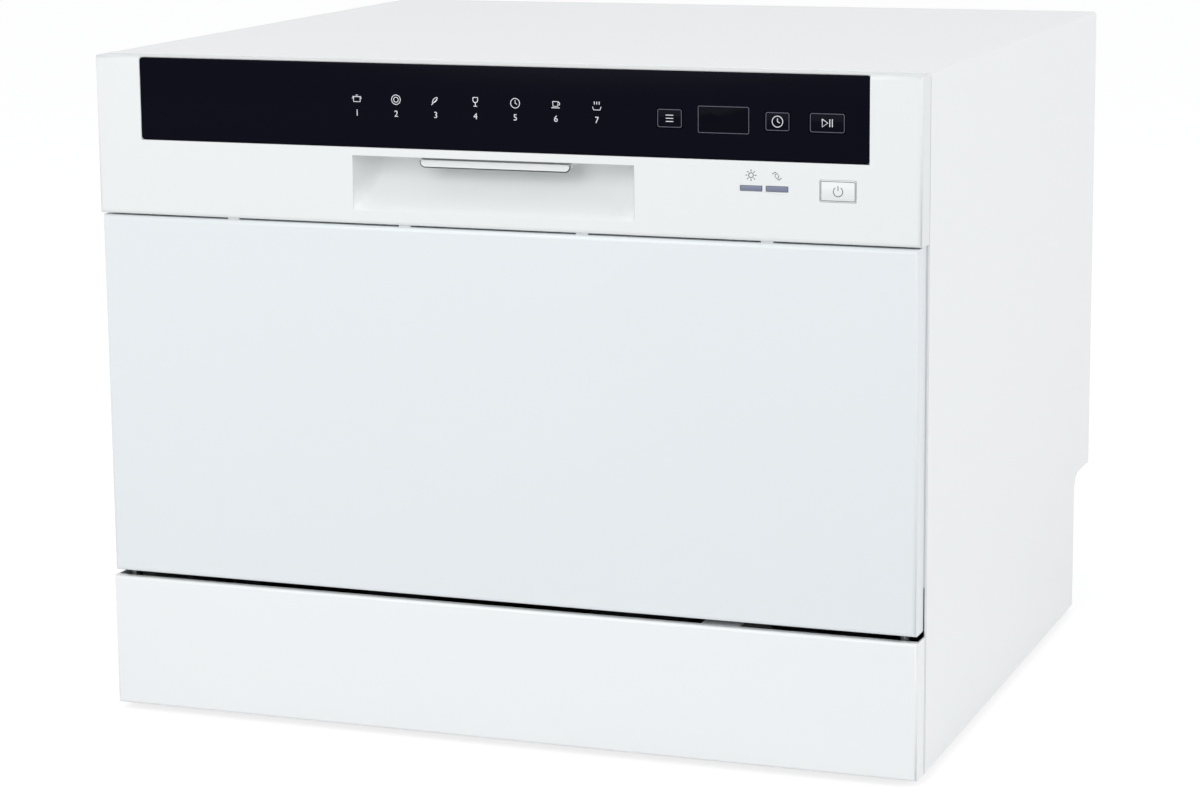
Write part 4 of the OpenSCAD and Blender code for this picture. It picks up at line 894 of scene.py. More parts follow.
@dataclass
class Cabinet:
    """The folded wrap, the rear with its connections, the plinth and the feet."""

    shop: Workshop
    sheet_edge: float = 0.25 * MM
    clip_span: Flat = (134 * MM, 159 * MM)
    bead_r: float = 1.6 * MM
    bead_inset: float = 34 * MM
    bead_bend: float = 18 * MM
    screw_r: float = 3.6 * MM
    screw_h: float = 1.8 * MM
    inlet_place: Point = (-185 * MM, 200.2 * MM, 62 * MM)
    inlet_r: float = 13.2 * MM
    thread_pitch: float = 1.81 * MM
    thread_r: float = 0.55 * MM
    thread_steps: int = 32
    spigot_place: Point = (-150 * MM, 0.0, 58 * MM)
    spigot_r: float = 9 * MM
    spigot_bore: float = 6.5 * MM
    barb: float = 0.7 * MM
    barb_pitch: float = 5.2 * MM
    foot_ribs: int = 24
    foot_rib_depth: float = 0.7 * MM
    foot_rim_h: float = 5.7 * MM

    def build(self) -> None:
        """Makes all the cabinet's pieces."""
        shop = self.shop
        shop.soften("outer_wrap", "cabinet", "white_steel", self.sheet_edge)
        shop.soften("rear_panel", "cabinet", "galvanised", self.sheet_edge)
        shop.soften("kickplate", "cabinet", "white_steel", 0.3 * MM)
        tray = smooth(mesh_object("base_tray_form", merged("base_tray")), 30)
        shop.place(tray, "cabinet", "dark_plastic", "base_tray")
        shop.soften("front_frame", "cabinet", "galvanised", 0.5 * MM)
        self.hem()
        self.kick_clip()
        self.beads()
        self.screws()
        self.inlet()
        self.spigot()
        shop.soften("cord_gland", "cabinet", "dark_plastic", 0.5 * MM)
        self.feet()

    def hem(self) -> None:
        """Makes the white hem behind the line between the wrap and the door."""
        low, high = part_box("outer_wrap")
        y0, y1, thick, thin = low.y - 1.1 * MM, low.y + 1 * MM, 2.3 * MM, 0.9 * MM
        x0, x1 = low.x + 0.35 * MM, high.x - 0.35 * MM
        top, foot = high.z - 0.15 * MM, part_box("door_liner")[0].z + 12 * MM
        across = [(x0, x0 + thick, foot, top), (x1 - thick, x1, foot, top),
                  (x0 + thick, x1 - thick, top - thick, top),
                  (x0, x0 + thin, low.z, foot), (x1 - thin, x1, low.z, foot)]
        spans = [((left, y0, down), (right, y1, up)) for left, right, down, up in across]
        self.shop.place(bevelled(boxes("wrap_hem", spans), 0.2 * MM), "cabinet", "white_steel")

    def kick_clip(self) -> None:
        """Makes the pale clip that shows in the gap over the kickplate, behind its lip."""
        low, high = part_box("kickplate")
        y0, y1, top = low.y + 5.6 * MM, high.y - 1 * MM, high.z - 0.2 * MM
        x0, x1 = self.clip_span
        clip = boxes("kick_clip", [((x0, y0, top - 1.2 * MM), (x1, y1, top))])
        self.shop.place(bevelled(clip, 0.15 * MM), "cabinet", "pale_plastic")

    def beads(self) -> None:
        """Makes the pressed beads that stiffen the rear panel."""
        low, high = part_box("rear_panel")
        notch_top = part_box("outer_wrap")[0].z + 100 * MM
        y = high.y - 0.35 * self.bead_r
        z0, z1 = notch_top + self.bead_inset, high.z - self.bead_inset
        middle_x = (low.x + high.x) / 2
        halves = ((low.x + self.bead_inset, middle_x - self.bead_inset / 2),
                  (middle_x + self.bead_inset / 2, high.x - self.bead_inset))
        paths = [[(x0, y, z0), (x1, y, z0), (x1, y, z1), (x0, y, z1)] for x0, x1 in halves]
        piece = self.shop.wires("rear_beads", paths, self.bead_r, "galvanised", self.bead_bend, 12, True)
        self.shop.place(piece, "cabinet", "galvanised")

    def screws(self) -> None:
        """Makes the cross-headed screws of the rear, one on each of the CAD heads."""
        places = island_centres("cabinet_screws")
        low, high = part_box("cabinet_screws")
        notch_y = min(place.y for place in places)
        seats = []
        for place in places:
            face = high.y if place.y > notch_y + 10 * MM else low.y + self.screw_h
            seats.append((place.x, face - self.screw_h, place.z))
        turns = [(0.0, 0.7 * number, 0.0) for number in range(len(seats))]
        head = screw_head(self.screw_r, self.screw_h)
        piece = self.shop.scatter("rear_screws", head, seats, "bright_steel", turns)
        self.shop.place(smooth(piece, 40), "cabinet", "bright_steel", "cabinet_screws")

    def inlet(self) -> None:
        """Makes the thread on the water inlet and softens the valve."""
        x, face, z = self.inlet_place
        turns = (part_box("inlet_valve")[1].y - face - 1.2 * MM) / self.thread_pitch
        radius = self.inlet_r - 0.4 * self.thread_r
        path = []
        for step in range(int(turns * self.thread_steps) + 1):
            angle = 2 * math.pi * step / self.thread_steps
            path.append((x + radius * math.cos(angle), face + self.thread_pitch * step / self.thread_steps,
                         z + radius * math.sin(angle)))
        piece = self.shop.wires("inlet_thread", [path], self.thread_r, "pale_plastic", 0.0, 6)
        self.shop.place(piece, "cabinet", "pale_plastic")
        self.shop.soften("inlet_valve", "cabinet", "pale_plastic", 0.4 * MM)

    def spigot(self) -> None:
        """Makes the drain spigot's barbs."""
        low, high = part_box("drain_spigot")
        foot = low.y + 20 * MM
        y = high.y - 1.5 * MM
        profile = [(high.y, self.spigot_r - 0.4 * MM)]
        for _ in range(3):
            profile += [(y, self.spigot_r + self.barb), (y - self.barb_pitch + 0.2 * MM, self.spigot_r),
                        (y - self.barb_pitch, self.spigot_r + self.barb)]
            y -= self.barb_pitch
        profile += [(foot, self.spigot_r), (foot, self.spigot_bore), (high.y, self.spigot_bore)]
        piece = lathe("spigot_barbs", profile, self.spigot_place, "y", 40, True)
        self.shop.place(smooth(piece, 30), "cabinet", "dark_plastic")
        self.shop.soften("drain_spigot", "cabinet", "dark_plastic", 0.3 * MM)

    def feet(self) -> None:
        """Makes the four screw feet, each with ribs round its rim."""
        rim_top, steps = self.foot_rim_h, 4 * self.foot_ribs
        for corner in ("front_left", "front_right", "rear_left", "rear_right"):
            node = "foot_" + corner
            low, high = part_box(node)
            centre = (low + high) / 2
            rim = (high.x - low.x) / 2
            rings = []
            for z, share in ((0.0, 0.90), (0.9 * MM, 1.0), (rim_top - 0.9 * MM, 1.0), (rim_top, 0.93)):
                ring = []
                for step, (u, v) in enumerate(circle(1.0, steps)):
                    rib = rim * share - (self.foot_rib_depth if step % 4 in (1, 2) else 0.0)
                    ring.append((centre.x + rib * u, centre.y + rib * v, z))
                rings.append(ring)
            for radius, z in ((7.6 * MM, rim_top), (5.0 * MM, rim_top + 1.5 * MM), (5.0 * MM, high.z)):
                rings.append([(centre.x + u, centre.y + v, z) for u, v in circle(radius, steps)])
            self.shop.place(smooth(loft(node + "_form", rings), 30), node, "foot_rubber", node)


def island_centres(node: str) -> list[Vector]:
    """Gives the middle of each separate solid of a CAD node.

    Args:
        node: the CAD node.

    Returns:
        The middles, in the order in which they are found.
    """
    shape = bmesh.new()
    shape.from_mesh(frame["nodes"][node].data)
    bmesh.ops.remove_doubles(shape, verts=shape.verts, dist=WELD)
    unseen = set(shape.verts)
    centres = []
    while unseen:
        stack = [unseen.pop()]
        group = list(stack)
        while stack:
            for edge in stack.pop().link_edges:
                for vert in edge.verts:
                    if vert in unseen:
                        unseen.remove(vert)
                        stack.append(vert)
                        group.append(vert)
        low = Vector([min(v.co[k] for v in group) for k in range(3)])
        high = Vector([max(v.co[k] for v in group) for k in range(3)])
        centres.append((low + high) / 2)
    shape.free()
    return sorted(centres, key=lambda c: (round(c.z, 4), round(c.x, 4)))


@dataclass
class Door:
    """The door panel, the console, the liner, the hinge arms and the handle."""

    shop: Workshop
    clip_w: float = 8 * MM
    clip_x: tuple[float, ...] = (-180 * MM, -60.5 * MM, 58.5 * MM, 178 * MM)
    lever_half: float = 50 * MM
    lever_z: float = 372.1 * MM
    lever_top: float = 376.5 * MM
    lever_front: float = -244.4 * MM
    lever_back: Flat = (-239 * MM, -236 * MM)
    lever_corner: float = 3.2 * MM
    pivot_z: float = 390 * MM
    pivot_r: float = 1.8 * MM
    bowl_half: float = 94 * MM
    bowl_z: Flat = (344 * MM, 378.5 * MM)
    bowl_front: float = -250 * MM
    bowl_depth: float = 24 * MM
    bowl_blend: float = 12 * MM
    emboss_r: float = 1.4 * MM
    emboss_inset: float = 26 * MM
    screw_r: float = 3.6 * MM
    screw_h: float = 1.4 * MM

    def build(self) -> None:
        """Makes all the door's pieces."""
        shop = self.shop
        shop.place(softened("door_panel", 0.3 * MM), "door", "white_steel", "door_panel", finish="door_white")
        shop.soften("console", "door", "white_plastic", 0.45 * MM, 3)
        shop.soften("door_liner", "door", "stainless", 0.5 * MM)
        shop.soften("door_arms", "door", "galvanised", 0.3 * MM)
        self.lever()
        self.bowl()
        shop.soften("latch_hook", "latch_hook", "bright_steel", 0.3 * MM)
        self.clips()
        self.liner_emboss()
        self.liner_screws()

    def lever(self) -> None:
        """Makes the handle lever: a plate in the recess roof, joggled back to its pivot and its pusher, with
        a dark line of painted shade round its lower edge.
        """
        low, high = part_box("handle_lever")
        half, front, thick = self.lever_half, self.lever_front, 2.5 * MM
        (back0, back1), pivot, top = self.lever_back, self.pivot_z, self.lever_top
        corner = self.lever_corner
        rings = []
        ends = [corner * (1 - math.cos(math.pi / 2 * k / 6)) for k in range(7)]
        for x, inset in [(-half + e, e) for e in ends] + [(half - e, e) for e in reversed(ends)]:
            low_z = self.lever_z + corner - math.sqrt(max(0.0, corner ** 2 - (corner - inset) ** 2))
            outline = [(front, low_z), (front, top), (front + 3 * MM, top + 0.4 * MM),
                       (back0 - 0.6 * MM, top + 3 * MM), (back0, top + 5.5 * MM), (back0, pivot + 3 * MM),
                       (back1, pivot + 3 * MM), (back1, top + 2.1 * MM), (back0 + 0.4 * MM, top - 2.1 * MM),
                       (front + thick, top - 2.5 * MM), (front + thick, low_z)]
            rings.append([(x, y, z) for y, z in outline])
        plate = bevelled(loft("plate", rings), 0.25 * MM, 3)
        pusher = bevelled(boxes("pusher", [((-8 * MM, back0, pivot), (8 * MM, back1, high.z))]), 0.3 * MM)
        axis = (0.0, (back0 + back1) / 2, pivot)
        stubs = [lathe("stub", [(x0, 0.0), (x0, self.pivot_r), (x1, self.pivot_r), (x1, 0.0)], axis, "x", 20)
                 for x0, x1 in ((low.x, 1 * MM - half), (half - 1 * MM, high.x))]
        form = joined("lever_form", [plate, pusher, *stubs])
        self.shop.place(smooth(form, 50), "handle_lever", "white_plastic", "handle_lever")
        # The dark line round the lower edge of the lever is painted shade: it stands for the shadow in the
        # gap between the lever and the recess.
        out = 0.1 * MM
        around = rounded_rect(-half - out, half + out, self.lever_z - out, top + 6 * MM, corner)
        rim = [(u, front + 0.3 * MM, v) for u, v in around if v < top]
        rim = [(rim[0][0], rim[0][1], top), *rim, (rim[-1][0], rim[-1][1], top)]
        line = self.shop.wires("lever_edge", [rim], 0.42 * MM, "dark_print_and_gap_shade", 0.0, 8)
        self.shop.place(line, "handle_lever", "dark_print_and_gap_shade")

    def bowl(self) -> None:
        """Makes the lining of the handle recess, deepest under its roof."""
        half, (z0, z1), across, up = self.bowl_half, self.bowl_z, 72, 20
        shape = bmesh.new()
        front, rear = [], []
        for i in range(across + 1):
            x = -half * math.cos(math.pi * i / across)
            side = math.sin(math.pi / 2 * min(1.0, (half - abs(x)) / self.bowl_blend)) ** 0.8
            for rows, out in ((front, 0.15 * MM), (rear, 0.75 * MM)):
                column = []
                for j in range(up + 1):
                    deep = self.bowl_depth * side * math.cos(math.pi / 2 * j / up) ** 1.25
                    column.append(shape.verts.new((x, self.bowl_front + out + deep, z1 - (z1 - z0) * j / up)))
                rows.append(column)
        for i in range(across):
            for j in range(up):
                for rows in (front, rear):
                    shape.faces.new((rows[i][j], rows[i][j + 1], rows[i + 1][j + 1], rows[i + 1][j]))
            for j in (0, up):
                shape.faces.new((front[i][j], front[i + 1][j], rear[i + 1][j], rear[i][j]))
        for j in range(up):
            for i in (0, across):
                shape.faces.new((front[i][j], front[i][j + 1], rear[i][j + 1], rear[i][j]))
        bmesh.ops.recalc_face_normals(shape, faces=shape.faces)
        self.shop.place(smooth(mesh_object("recess_bowl", shape), 60), "door", "white_plastic")

    def clips(self) -> None:
        """Makes the light tabs that show in the line under the console."""
        panel_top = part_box("door_panel")[1].z
        console_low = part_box("console")[0].z
        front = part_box("door_panel")[0].y + 3.2 * MM
        half, lap = self.clip_w / 2, 0.4 * MM
        spans = [((x - half, front, panel_top - lap), (x + half, front + 12 * MM, console_low + lap))
                 for x in self.clip_x]
        self.shop.place(bevelled(boxes("panel_clips", spans), 0.15 * MM), "door", "white_plastic")

    def liner_emboss(self) -> None:
        """Makes the pressed frame on the inside of the door."""
        low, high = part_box("door_liner")
        y, inset = high.y - 0.45 * self.emboss_r, self.emboss_inset
        x0, x1 = low.x + 10 * MM + inset, high.x - 10 * MM - inset
        z0, z1 = low.z + inset, high.z - 40 * MM
        path = [(x0, y, z0), (x1, y, z0), (x1, y, z1), (x0, y, z1)]
        piece = self.shop.wires("liner_bead", [path], self.emboss_r, "stainless", 14 * MM, 12, True)
        self.shop.place(piece, "door", "stainless")

    def liner_screws(self) -> None:
        """Makes the screws down both sides of the liner."""
        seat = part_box("door_screws")[0].y
        seats = [(place.x, seat, place.z) for place in island_centres("door_screws")]
        head = screw_head(self.screw_r, self.screw_h)
        piece = self.shop.scatter("liner_screws", head, seats, "bright_steel")
        self.shop.place(smooth(piece, 40), "door", "bright_steel", "door_screws")


class Glyph(Enum):
    """The plain marks that are printed on the control strip."""

    POT = "pot"
    PLATES = "plates"
    GLASS = "glass"
    CUP = "cup"
    LEAF = "leaf"
    CLOCK = "clock"
    SPRAY = "spray"
    START = "start"
    POWER = "power"
    STAR = "star"
    SALT = "salt"
    CHOICE = "choice"


def arc(u: float, v: float, radius: float, start: float, end: float, steps: int = 14) -> list[Flat]:
    """Gives the points along an arc between two angles in degrees.

    Args:
        u: the centre's place across.
        v: the centre's place up.
        radius: the radius.
        start: the first angle.
        end: the last angle.
        steps: how many steps it takes.

    Returns:
        The points.
    """
    return [(u + radius * math.cos(math.radians(start + (end - start) * s / steps)),
             v + radius * math.sin(math.radians(start + (end - start) * s / steps)))
            for s in range(steps + 1)]


def glyph_paths(glyph: Glyph) -> list[list[Flat]]:
    """Gives the strokes of a mark, on a square that runs from -1 to 1.

    Args:
        glyph: the mark.

    Returns:
        The points of each stroke.
    """
    ring = arc(0, 0, 0.85, 0, 360, 24)
    shapes = {
        Glyph.POT: [[(-0.65, 0.35), (-0.65, -0.55), (0.65, -0.55), (0.65, 0.35)],
                    [(-0.85, 0.35), (0.85, 0.35)], [(-0.2, 0.62), (0.2, 0.62)],
                    [(-0.95, 0.1), (-0.65, 0.1)], [(0.65, 0.1), (0.95, 0.1)]],
        Glyph.PLATES: [ring, arc(0, 0, 0.45, 0, 360, 18)],
        Glyph.GLASS: [[(-0.45, 0.8), *arc(0, 0.35, 0.45, 180, 360, 10), (0.45, 0.8), (-0.45, 0.8)],
                      [(0, -0.1), (0, -0.75)], [(-0.35, -0.75), (0.35, -0.75)]],
        Glyph.CUP: [[(-0.6, 0.5), (-0.5, -0.35), (0.35, -0.35), (0.45, 0.5), (-0.6, 0.5)],
                    arc(0.45, 0.12, 0.28, 90, -80, 10), [(-0.85, -0.6), (0.75, -0.6)]],
        Glyph.LEAF: [[*arc(0.35, -0.35, 0.95, 90, 180, 10), *arc(-0.6, 0.6, 0.95, 270, 360, 10)],
                     [(-0.8, -0.75), (0.25, 0.25)]],
        Glyph.CLOCK: [ring, [(0, 0.5), (0, 0), (0.35, -0.2)]],
        Glyph.SPRAY: [[(-0.8, -0.2), (-0.6, -0.75), (0.6, -0.75), (0.8, -0.2)], [(-0.45, 0.7), (-0.45, 0.2)],
                      [(0, 0.7), (0, 0.2)], [(0.45, 0.7), (0.45, 0.2)]],
        Glyph.START: [[(-0.8, 0.6), (-0.8, -0.6), (0.1, 0), (-0.8, 0.6)], [(0.4, 0.6), (0.4, -0.6)],
                      [(0.8, 0.6), (0.8, -0.6)]],
        Glyph.POWER: [arc(0, -0.05, 0.75, 125, 415, 20), [(0, 0.85), (0, 0.1)]],
        Glyph.STAR: [arc(0, 0, 0.4, 0, 360, 14), *([(0.6 * u, 0.6 * v), (0.95 * u, 0.95 * v)]
                                                   for u, v in circle(1.0, 8))],
        Glyph.SALT: [[(-0.8, 0.3), (-0.3, 0.65), (0.2, 0.3), (-0.3, 0.3), (-0.3, -0.2)],
                     [(0.8, -0.3), (0.3, -0.65), (-0.2, -0.3), (0.3, -0.3), (0.3, 0.2)]],
        Glyph.CHOICE: [[(-0.75, v), (0.75, v)] for v in (0.6, 0.0, -0.6)],
    }
    return shapes[glyph]


@dataclass
class ControlPanel:
    """The dark strip with its printed marks, the keys, the display and the lamps."""

    shop: Workshop
    ink_r: float = 0.27 * MM
    ink_flat: float = 0.15
    mark_x: tuple[float, ...] = tuple(x * MM for x in (-90.0, -63.3, -36.5, -9.8, 16.7, 43.5, 70.3))
    mark_z: float = 414.4 * MM
    number_z: float = 405.4 * MM
    corner: float = 2.2 * MM
    key_flange: float = 1.5 * MM
    key_gap: float = 0.25 * MM
    lamp_half: float = 6.9 * MM
    lamp_mark_up: float = 6.3 * MM
    lamp_mark_size: float = 3.7 * MM
    frame_r: float = 0.2 * MM
    mark_size: float = 3.5 * MM
    number_size: float = 5.6 * MM
    marks: tuple[Glyph, ...] = (Glyph.POT, Glyph.PLATES, Glyph.LEAF, Glyph.GLASS, Glyph.CLOCK, Glyph.CUP,
                                Glyph.SPRAY)

    def build(self) -> None:
        """Makes the strip and all that is on it."""
        shop = self.shop
        low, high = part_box("fascia")
        self.front = low.y
        self.strip(low, high)
        low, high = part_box("display_window")
        window = pillow("display_pane", (low.x, high.x), (low.z, high.z), (low.y, high.y), 0.2 * MM, 0.8 * MM)
        shop.place(smooth(window), "door", "display_glass", "display_window")
        self.lamps()
        self.keys()
        self.prints()
        self.numbers()

    def strip(self, low: Vector, high: Vector) -> None:
        """Makes the dark strip with its round corners and the openings of the keys and the display.

        Args:
            low: the lower corner of the strip's box.
            high: its upper corner.
        """
        form = pillow("fascia_form", (low.x, high.x), (low.z, high.z), (low.y, high.y), 0.4 * MM, self.corner)
        holes = []
        for key in ("program_key", "delay_key", "start_key"):
            key_low, key_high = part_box(key)
            inset = self.key_flange - self.key_gap
            holes.append(((key_low.x + inset, key_high.x - inset), (key_low.z + inset, key_high.z - inset)))
        pane_low, pane_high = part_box("display_window")
        gap = 0.1 * MM
        holes.append(((pane_low.x - gap, pane_high.x + gap), (pane_low.z - gap, pane_high.z + gap)))
        through = (low.y - 1 * MM, high.y + 1 * MM)
        tools = [pillow("hole", u, v, through, 0.1 * MM, 1.2 * MM) for u, v in holes]
        cut(form, joined("holes", tools))
        self.shop.place(smooth(form, 40), "door", "black_gloss", "fascia")

    def lamps(self) -> None:
        """Makes the two lamp lenses."""
        low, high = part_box("indicator_lamps")
        half = self.lamp_half
        lenses = [pillow("lens", (centre.x - half, centre.x + half), (low.z, high.z),
                         (low.y - 0.1 * MM, high.y), 0.5 * MM, 0.9 * MM)
                  for centre in island_centres("indicator_lamps")]
        self.shop.place(smooth(joined("lamp_lenses", lenses)), "door", "lamp_lens", "indicator_lamps")

    def keys(self) -> None:
        """Makes the four keys, each with a shallow rounded edge, its mark and its printed outline."""
        marks = {"program_key": (Glyph.CHOICE, 3.2 * MM), "delay_key": (Glyph.CLOCK, 3.9 * MM),
                 "start_key": (Glyph.START, 3.9 * MM), "power_key": (Glyph.POWER, 3.9 * MM)}
        inset = self.key_flange + 0.7 * MM
        for key, (glyph, size) in marks.items():
            slot, ink, frame_ink = "black_gloss", "print_white", "print_grey"
            if key == "power_key":
                slot, ink, frame_ink = "white_plastic", "dark_print_and_gap_shade", "dark_print_and_gap_shade"
            self.shop.soften(key, key, slot, 0.3 * MM)
            low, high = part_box(key)
            centre = (low + high) / 2
            self.mark(key + "_symbol", glyph, centre.x, centre.z, size, low.y, ink, key)
            outline = rounded_rect(low.x + inset, high.x - inset, low.z + inset, high.z - inset, 1.0 * MM, 4)
            self.print_lines(key + "_outline", [outline], self.frame_r, low.y, frame_ink, key, True)

    def print_lines(self, name: str, paths: Sequence[Sequence[Flat]], radius: float, y: float, ink: str,
                    body: str, loops: bool = False) -> None:
        """Prints flat lines on a face.

        Args:
            name: the piece's name.
            paths: the lines, seen from the front.
            radius: half a line's width.
            y: the face.
            ink: the finish.
            body: the body that they ride on.
            loops: whether each line closes on itself.
        """
        lines = [[(u, y, v) for u, v in path] for path in paths]
        flat, centre = (1.0, self.ink_flat, 1.0), (0.0, y, 0.0)
        self.shop.place(self.shop.wires(name, lines, radius, ink, 0.0, 6, loops, flat, centre), body, ink)

    def mark(self, name: str, glyph: Glyph, x: float, z: float, size: float, y: float, ink: str,
             body: str) -> None:
        """Prints one mark.

        Args:
            name: the piece's name.
            glyph: the mark.
            x: where its middle is across.
            z: how high its middle is.
            size: half its width.
            y: the face that it is printed on.
            ink: the finish.
            body: the body that it rides on.
        """
        paths = [[(x + size * u, z + size * v) for u, v in path] for path in glyph_paths(glyph)]
        self.print_lines(name, paths, self.ink_r, y, ink, body)

    def prints(self) -> None:
        """Prints the programme marks, the marks of the lamps and the outline of the display."""
        for number, (glyph, x) in enumerate(zip(self.marks, self.mark_x), 1):
            self.mark(f"programme_mark_{number}", glyph, x, self.mark_z, self.mark_size, self.front,
                      "print_white", "door")
        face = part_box("console")[0].y
        low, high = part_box("indicator_lamps")
        for glyph, x in ((Glyph.STAR, low.x + self.lamp_half), (Glyph.SALT, high.x - self.lamp_half)):
            self.mark("lamp_mark_" + glyph.value, glyph, x, high.z + self.lamp_mark_up, self.lamp_mark_size,
                      face, "dark_print_and_gap_shade", "door")
        low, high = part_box("display_window")
        outline = rounded_rect(low.x, high.x, low.z, high.z, 0.8 * MM, 4)
        self.print_lines("display_outline", [outline], self.frame_r, self.front, "print_grey", "door", True)

    def numbers(self) -> None:
        """Prints a plain number under each programme mark."""
        pieces = []
        for number, x in enumerate(self.mark_x, 1):
            text = bpy.data.curves.new("number", "FONT")
            text.body = str(number)
            text.size = self.number_size
            text.align_x = "CENTER"
            text.align_y = "CENTER"
            text.extrude = 0.04 * MM
            text.resolution_u = 4
            written = bpy.data.objects.new("number", text)
            bpy.context.scene.collection.objects.link(written)
            mesh = bpy.data.meshes.new_from_object(
                written.evaluated_get(bpy.context.evaluated_depsgraph_get()))
            bpy.data.objects.remove(written)
            mesh.transform(Matrix.Translation((x, self.front, self.number_z))
                           @ Matrix.Rotation(math.pi / 2, 4, "X"))
            piece = bpy.data.objects.new("number", mesh)
            bpy.context.scene.collection.objects.link(piece)
            pieces.append(piece)
        self.shop.place(joined("programme_numbers", pieces), "door", "print_white")


@dataclass
class Dispenser:
    """The detergent cup, its lid and button, and the rinse aid cap."""

    shop: Workshop
    grip_ribs: int = 9
    rib_pitch: float = 3.4 * MM
    notches: int = 20

    def build(self) -> None:
        """Makes the dispenser's pieces."""
        shop = self.shop
        shop.soften("dispenser_body", "door", "grey_plastic", 0.3 * MM)
        shop.soften("dispenser_lid", "dispenser_lid", "grey_plastic", 0.4 * MM, 3)
        shop.soften("dispenser_button", "dispenser_button", "grey_plastic", 0.6 * MM, 3)
        shop.soften("rinse_aid_cap", "rinse_aid_cap", "grey_plastic", 0.5 * MM, 3)
        self.lid_ribs()
        self.cap_notches()
        self.gasket()

    def lid_ribs(self) -> None:
        """Makes the grip ribs on the lid."""
        low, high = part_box("dispenser_lid")
        half = 0.6 * MM
        rib = bevelled(boxes("rib", [((-half, -half, -5 * MM), (half, 0.7 * MM, 5 * MM))]), 0.3 * MM)
        start = (low.x + high.x) / 2 - self.rib_pitch * (self.grip_ribs - 1) / 2
        places = [(start + self.rib_pitch * k, high.y - 1.6 * MM, low.z + 24 * MM)
                  for k in range(self.grip_ribs)]
        piece = self.shop.scatter("lid_ribs", rib, places, "grey_plastic")
        self.shop.place(smooth(piece, 50), "dispenser_lid", "grey_plastic")

    def cap_notches(self) -> None:
        """Makes the grip beads round the rinse aid cap."""
        low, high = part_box("rinse_aid_cap")
        centre = (low + high) / 2
        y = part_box("dispenser_body")[1].y + 0.2 * MM
        profile = ((0.1, 0.0), (0.1, 0.9), (2.4, 0.9), (2.8, 0.6), (2.8, 0.0))
        bead = lathe("bead", [(along * MM, radius * MM) for along, radius in profile], ORIGIN, "y", 10)
        places = [(centre.x + u, y, centre.z + v)
                  for u, v in circle((high.x - low.x) / 2 - 0.5 * MM, self.notches)]
        piece = self.shop.scatter("cap_beads", bead, places, "grey_plastic")
        self.shop.place(smooth(piece, 40), "rinse_aid_cap", "grey_plastic")

    def gasket(self) -> None:
        """Makes the dark gasket between the dispenser and the liner."""
        low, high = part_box("dispenser_body")
        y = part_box("door_liner")[1].y + 0.1 * MM
        path = [(u, y, v) for u, v in rounded_rect(low.x, high.x, low.z, high.z, 6 * MM)]
        piece = self.shop.wires("dispenser_gasket", [path], 0.8 * MM, "seal_rubber", 0.0, 8, True)
        self.shop.place(piece, "door", "seal_rubber")


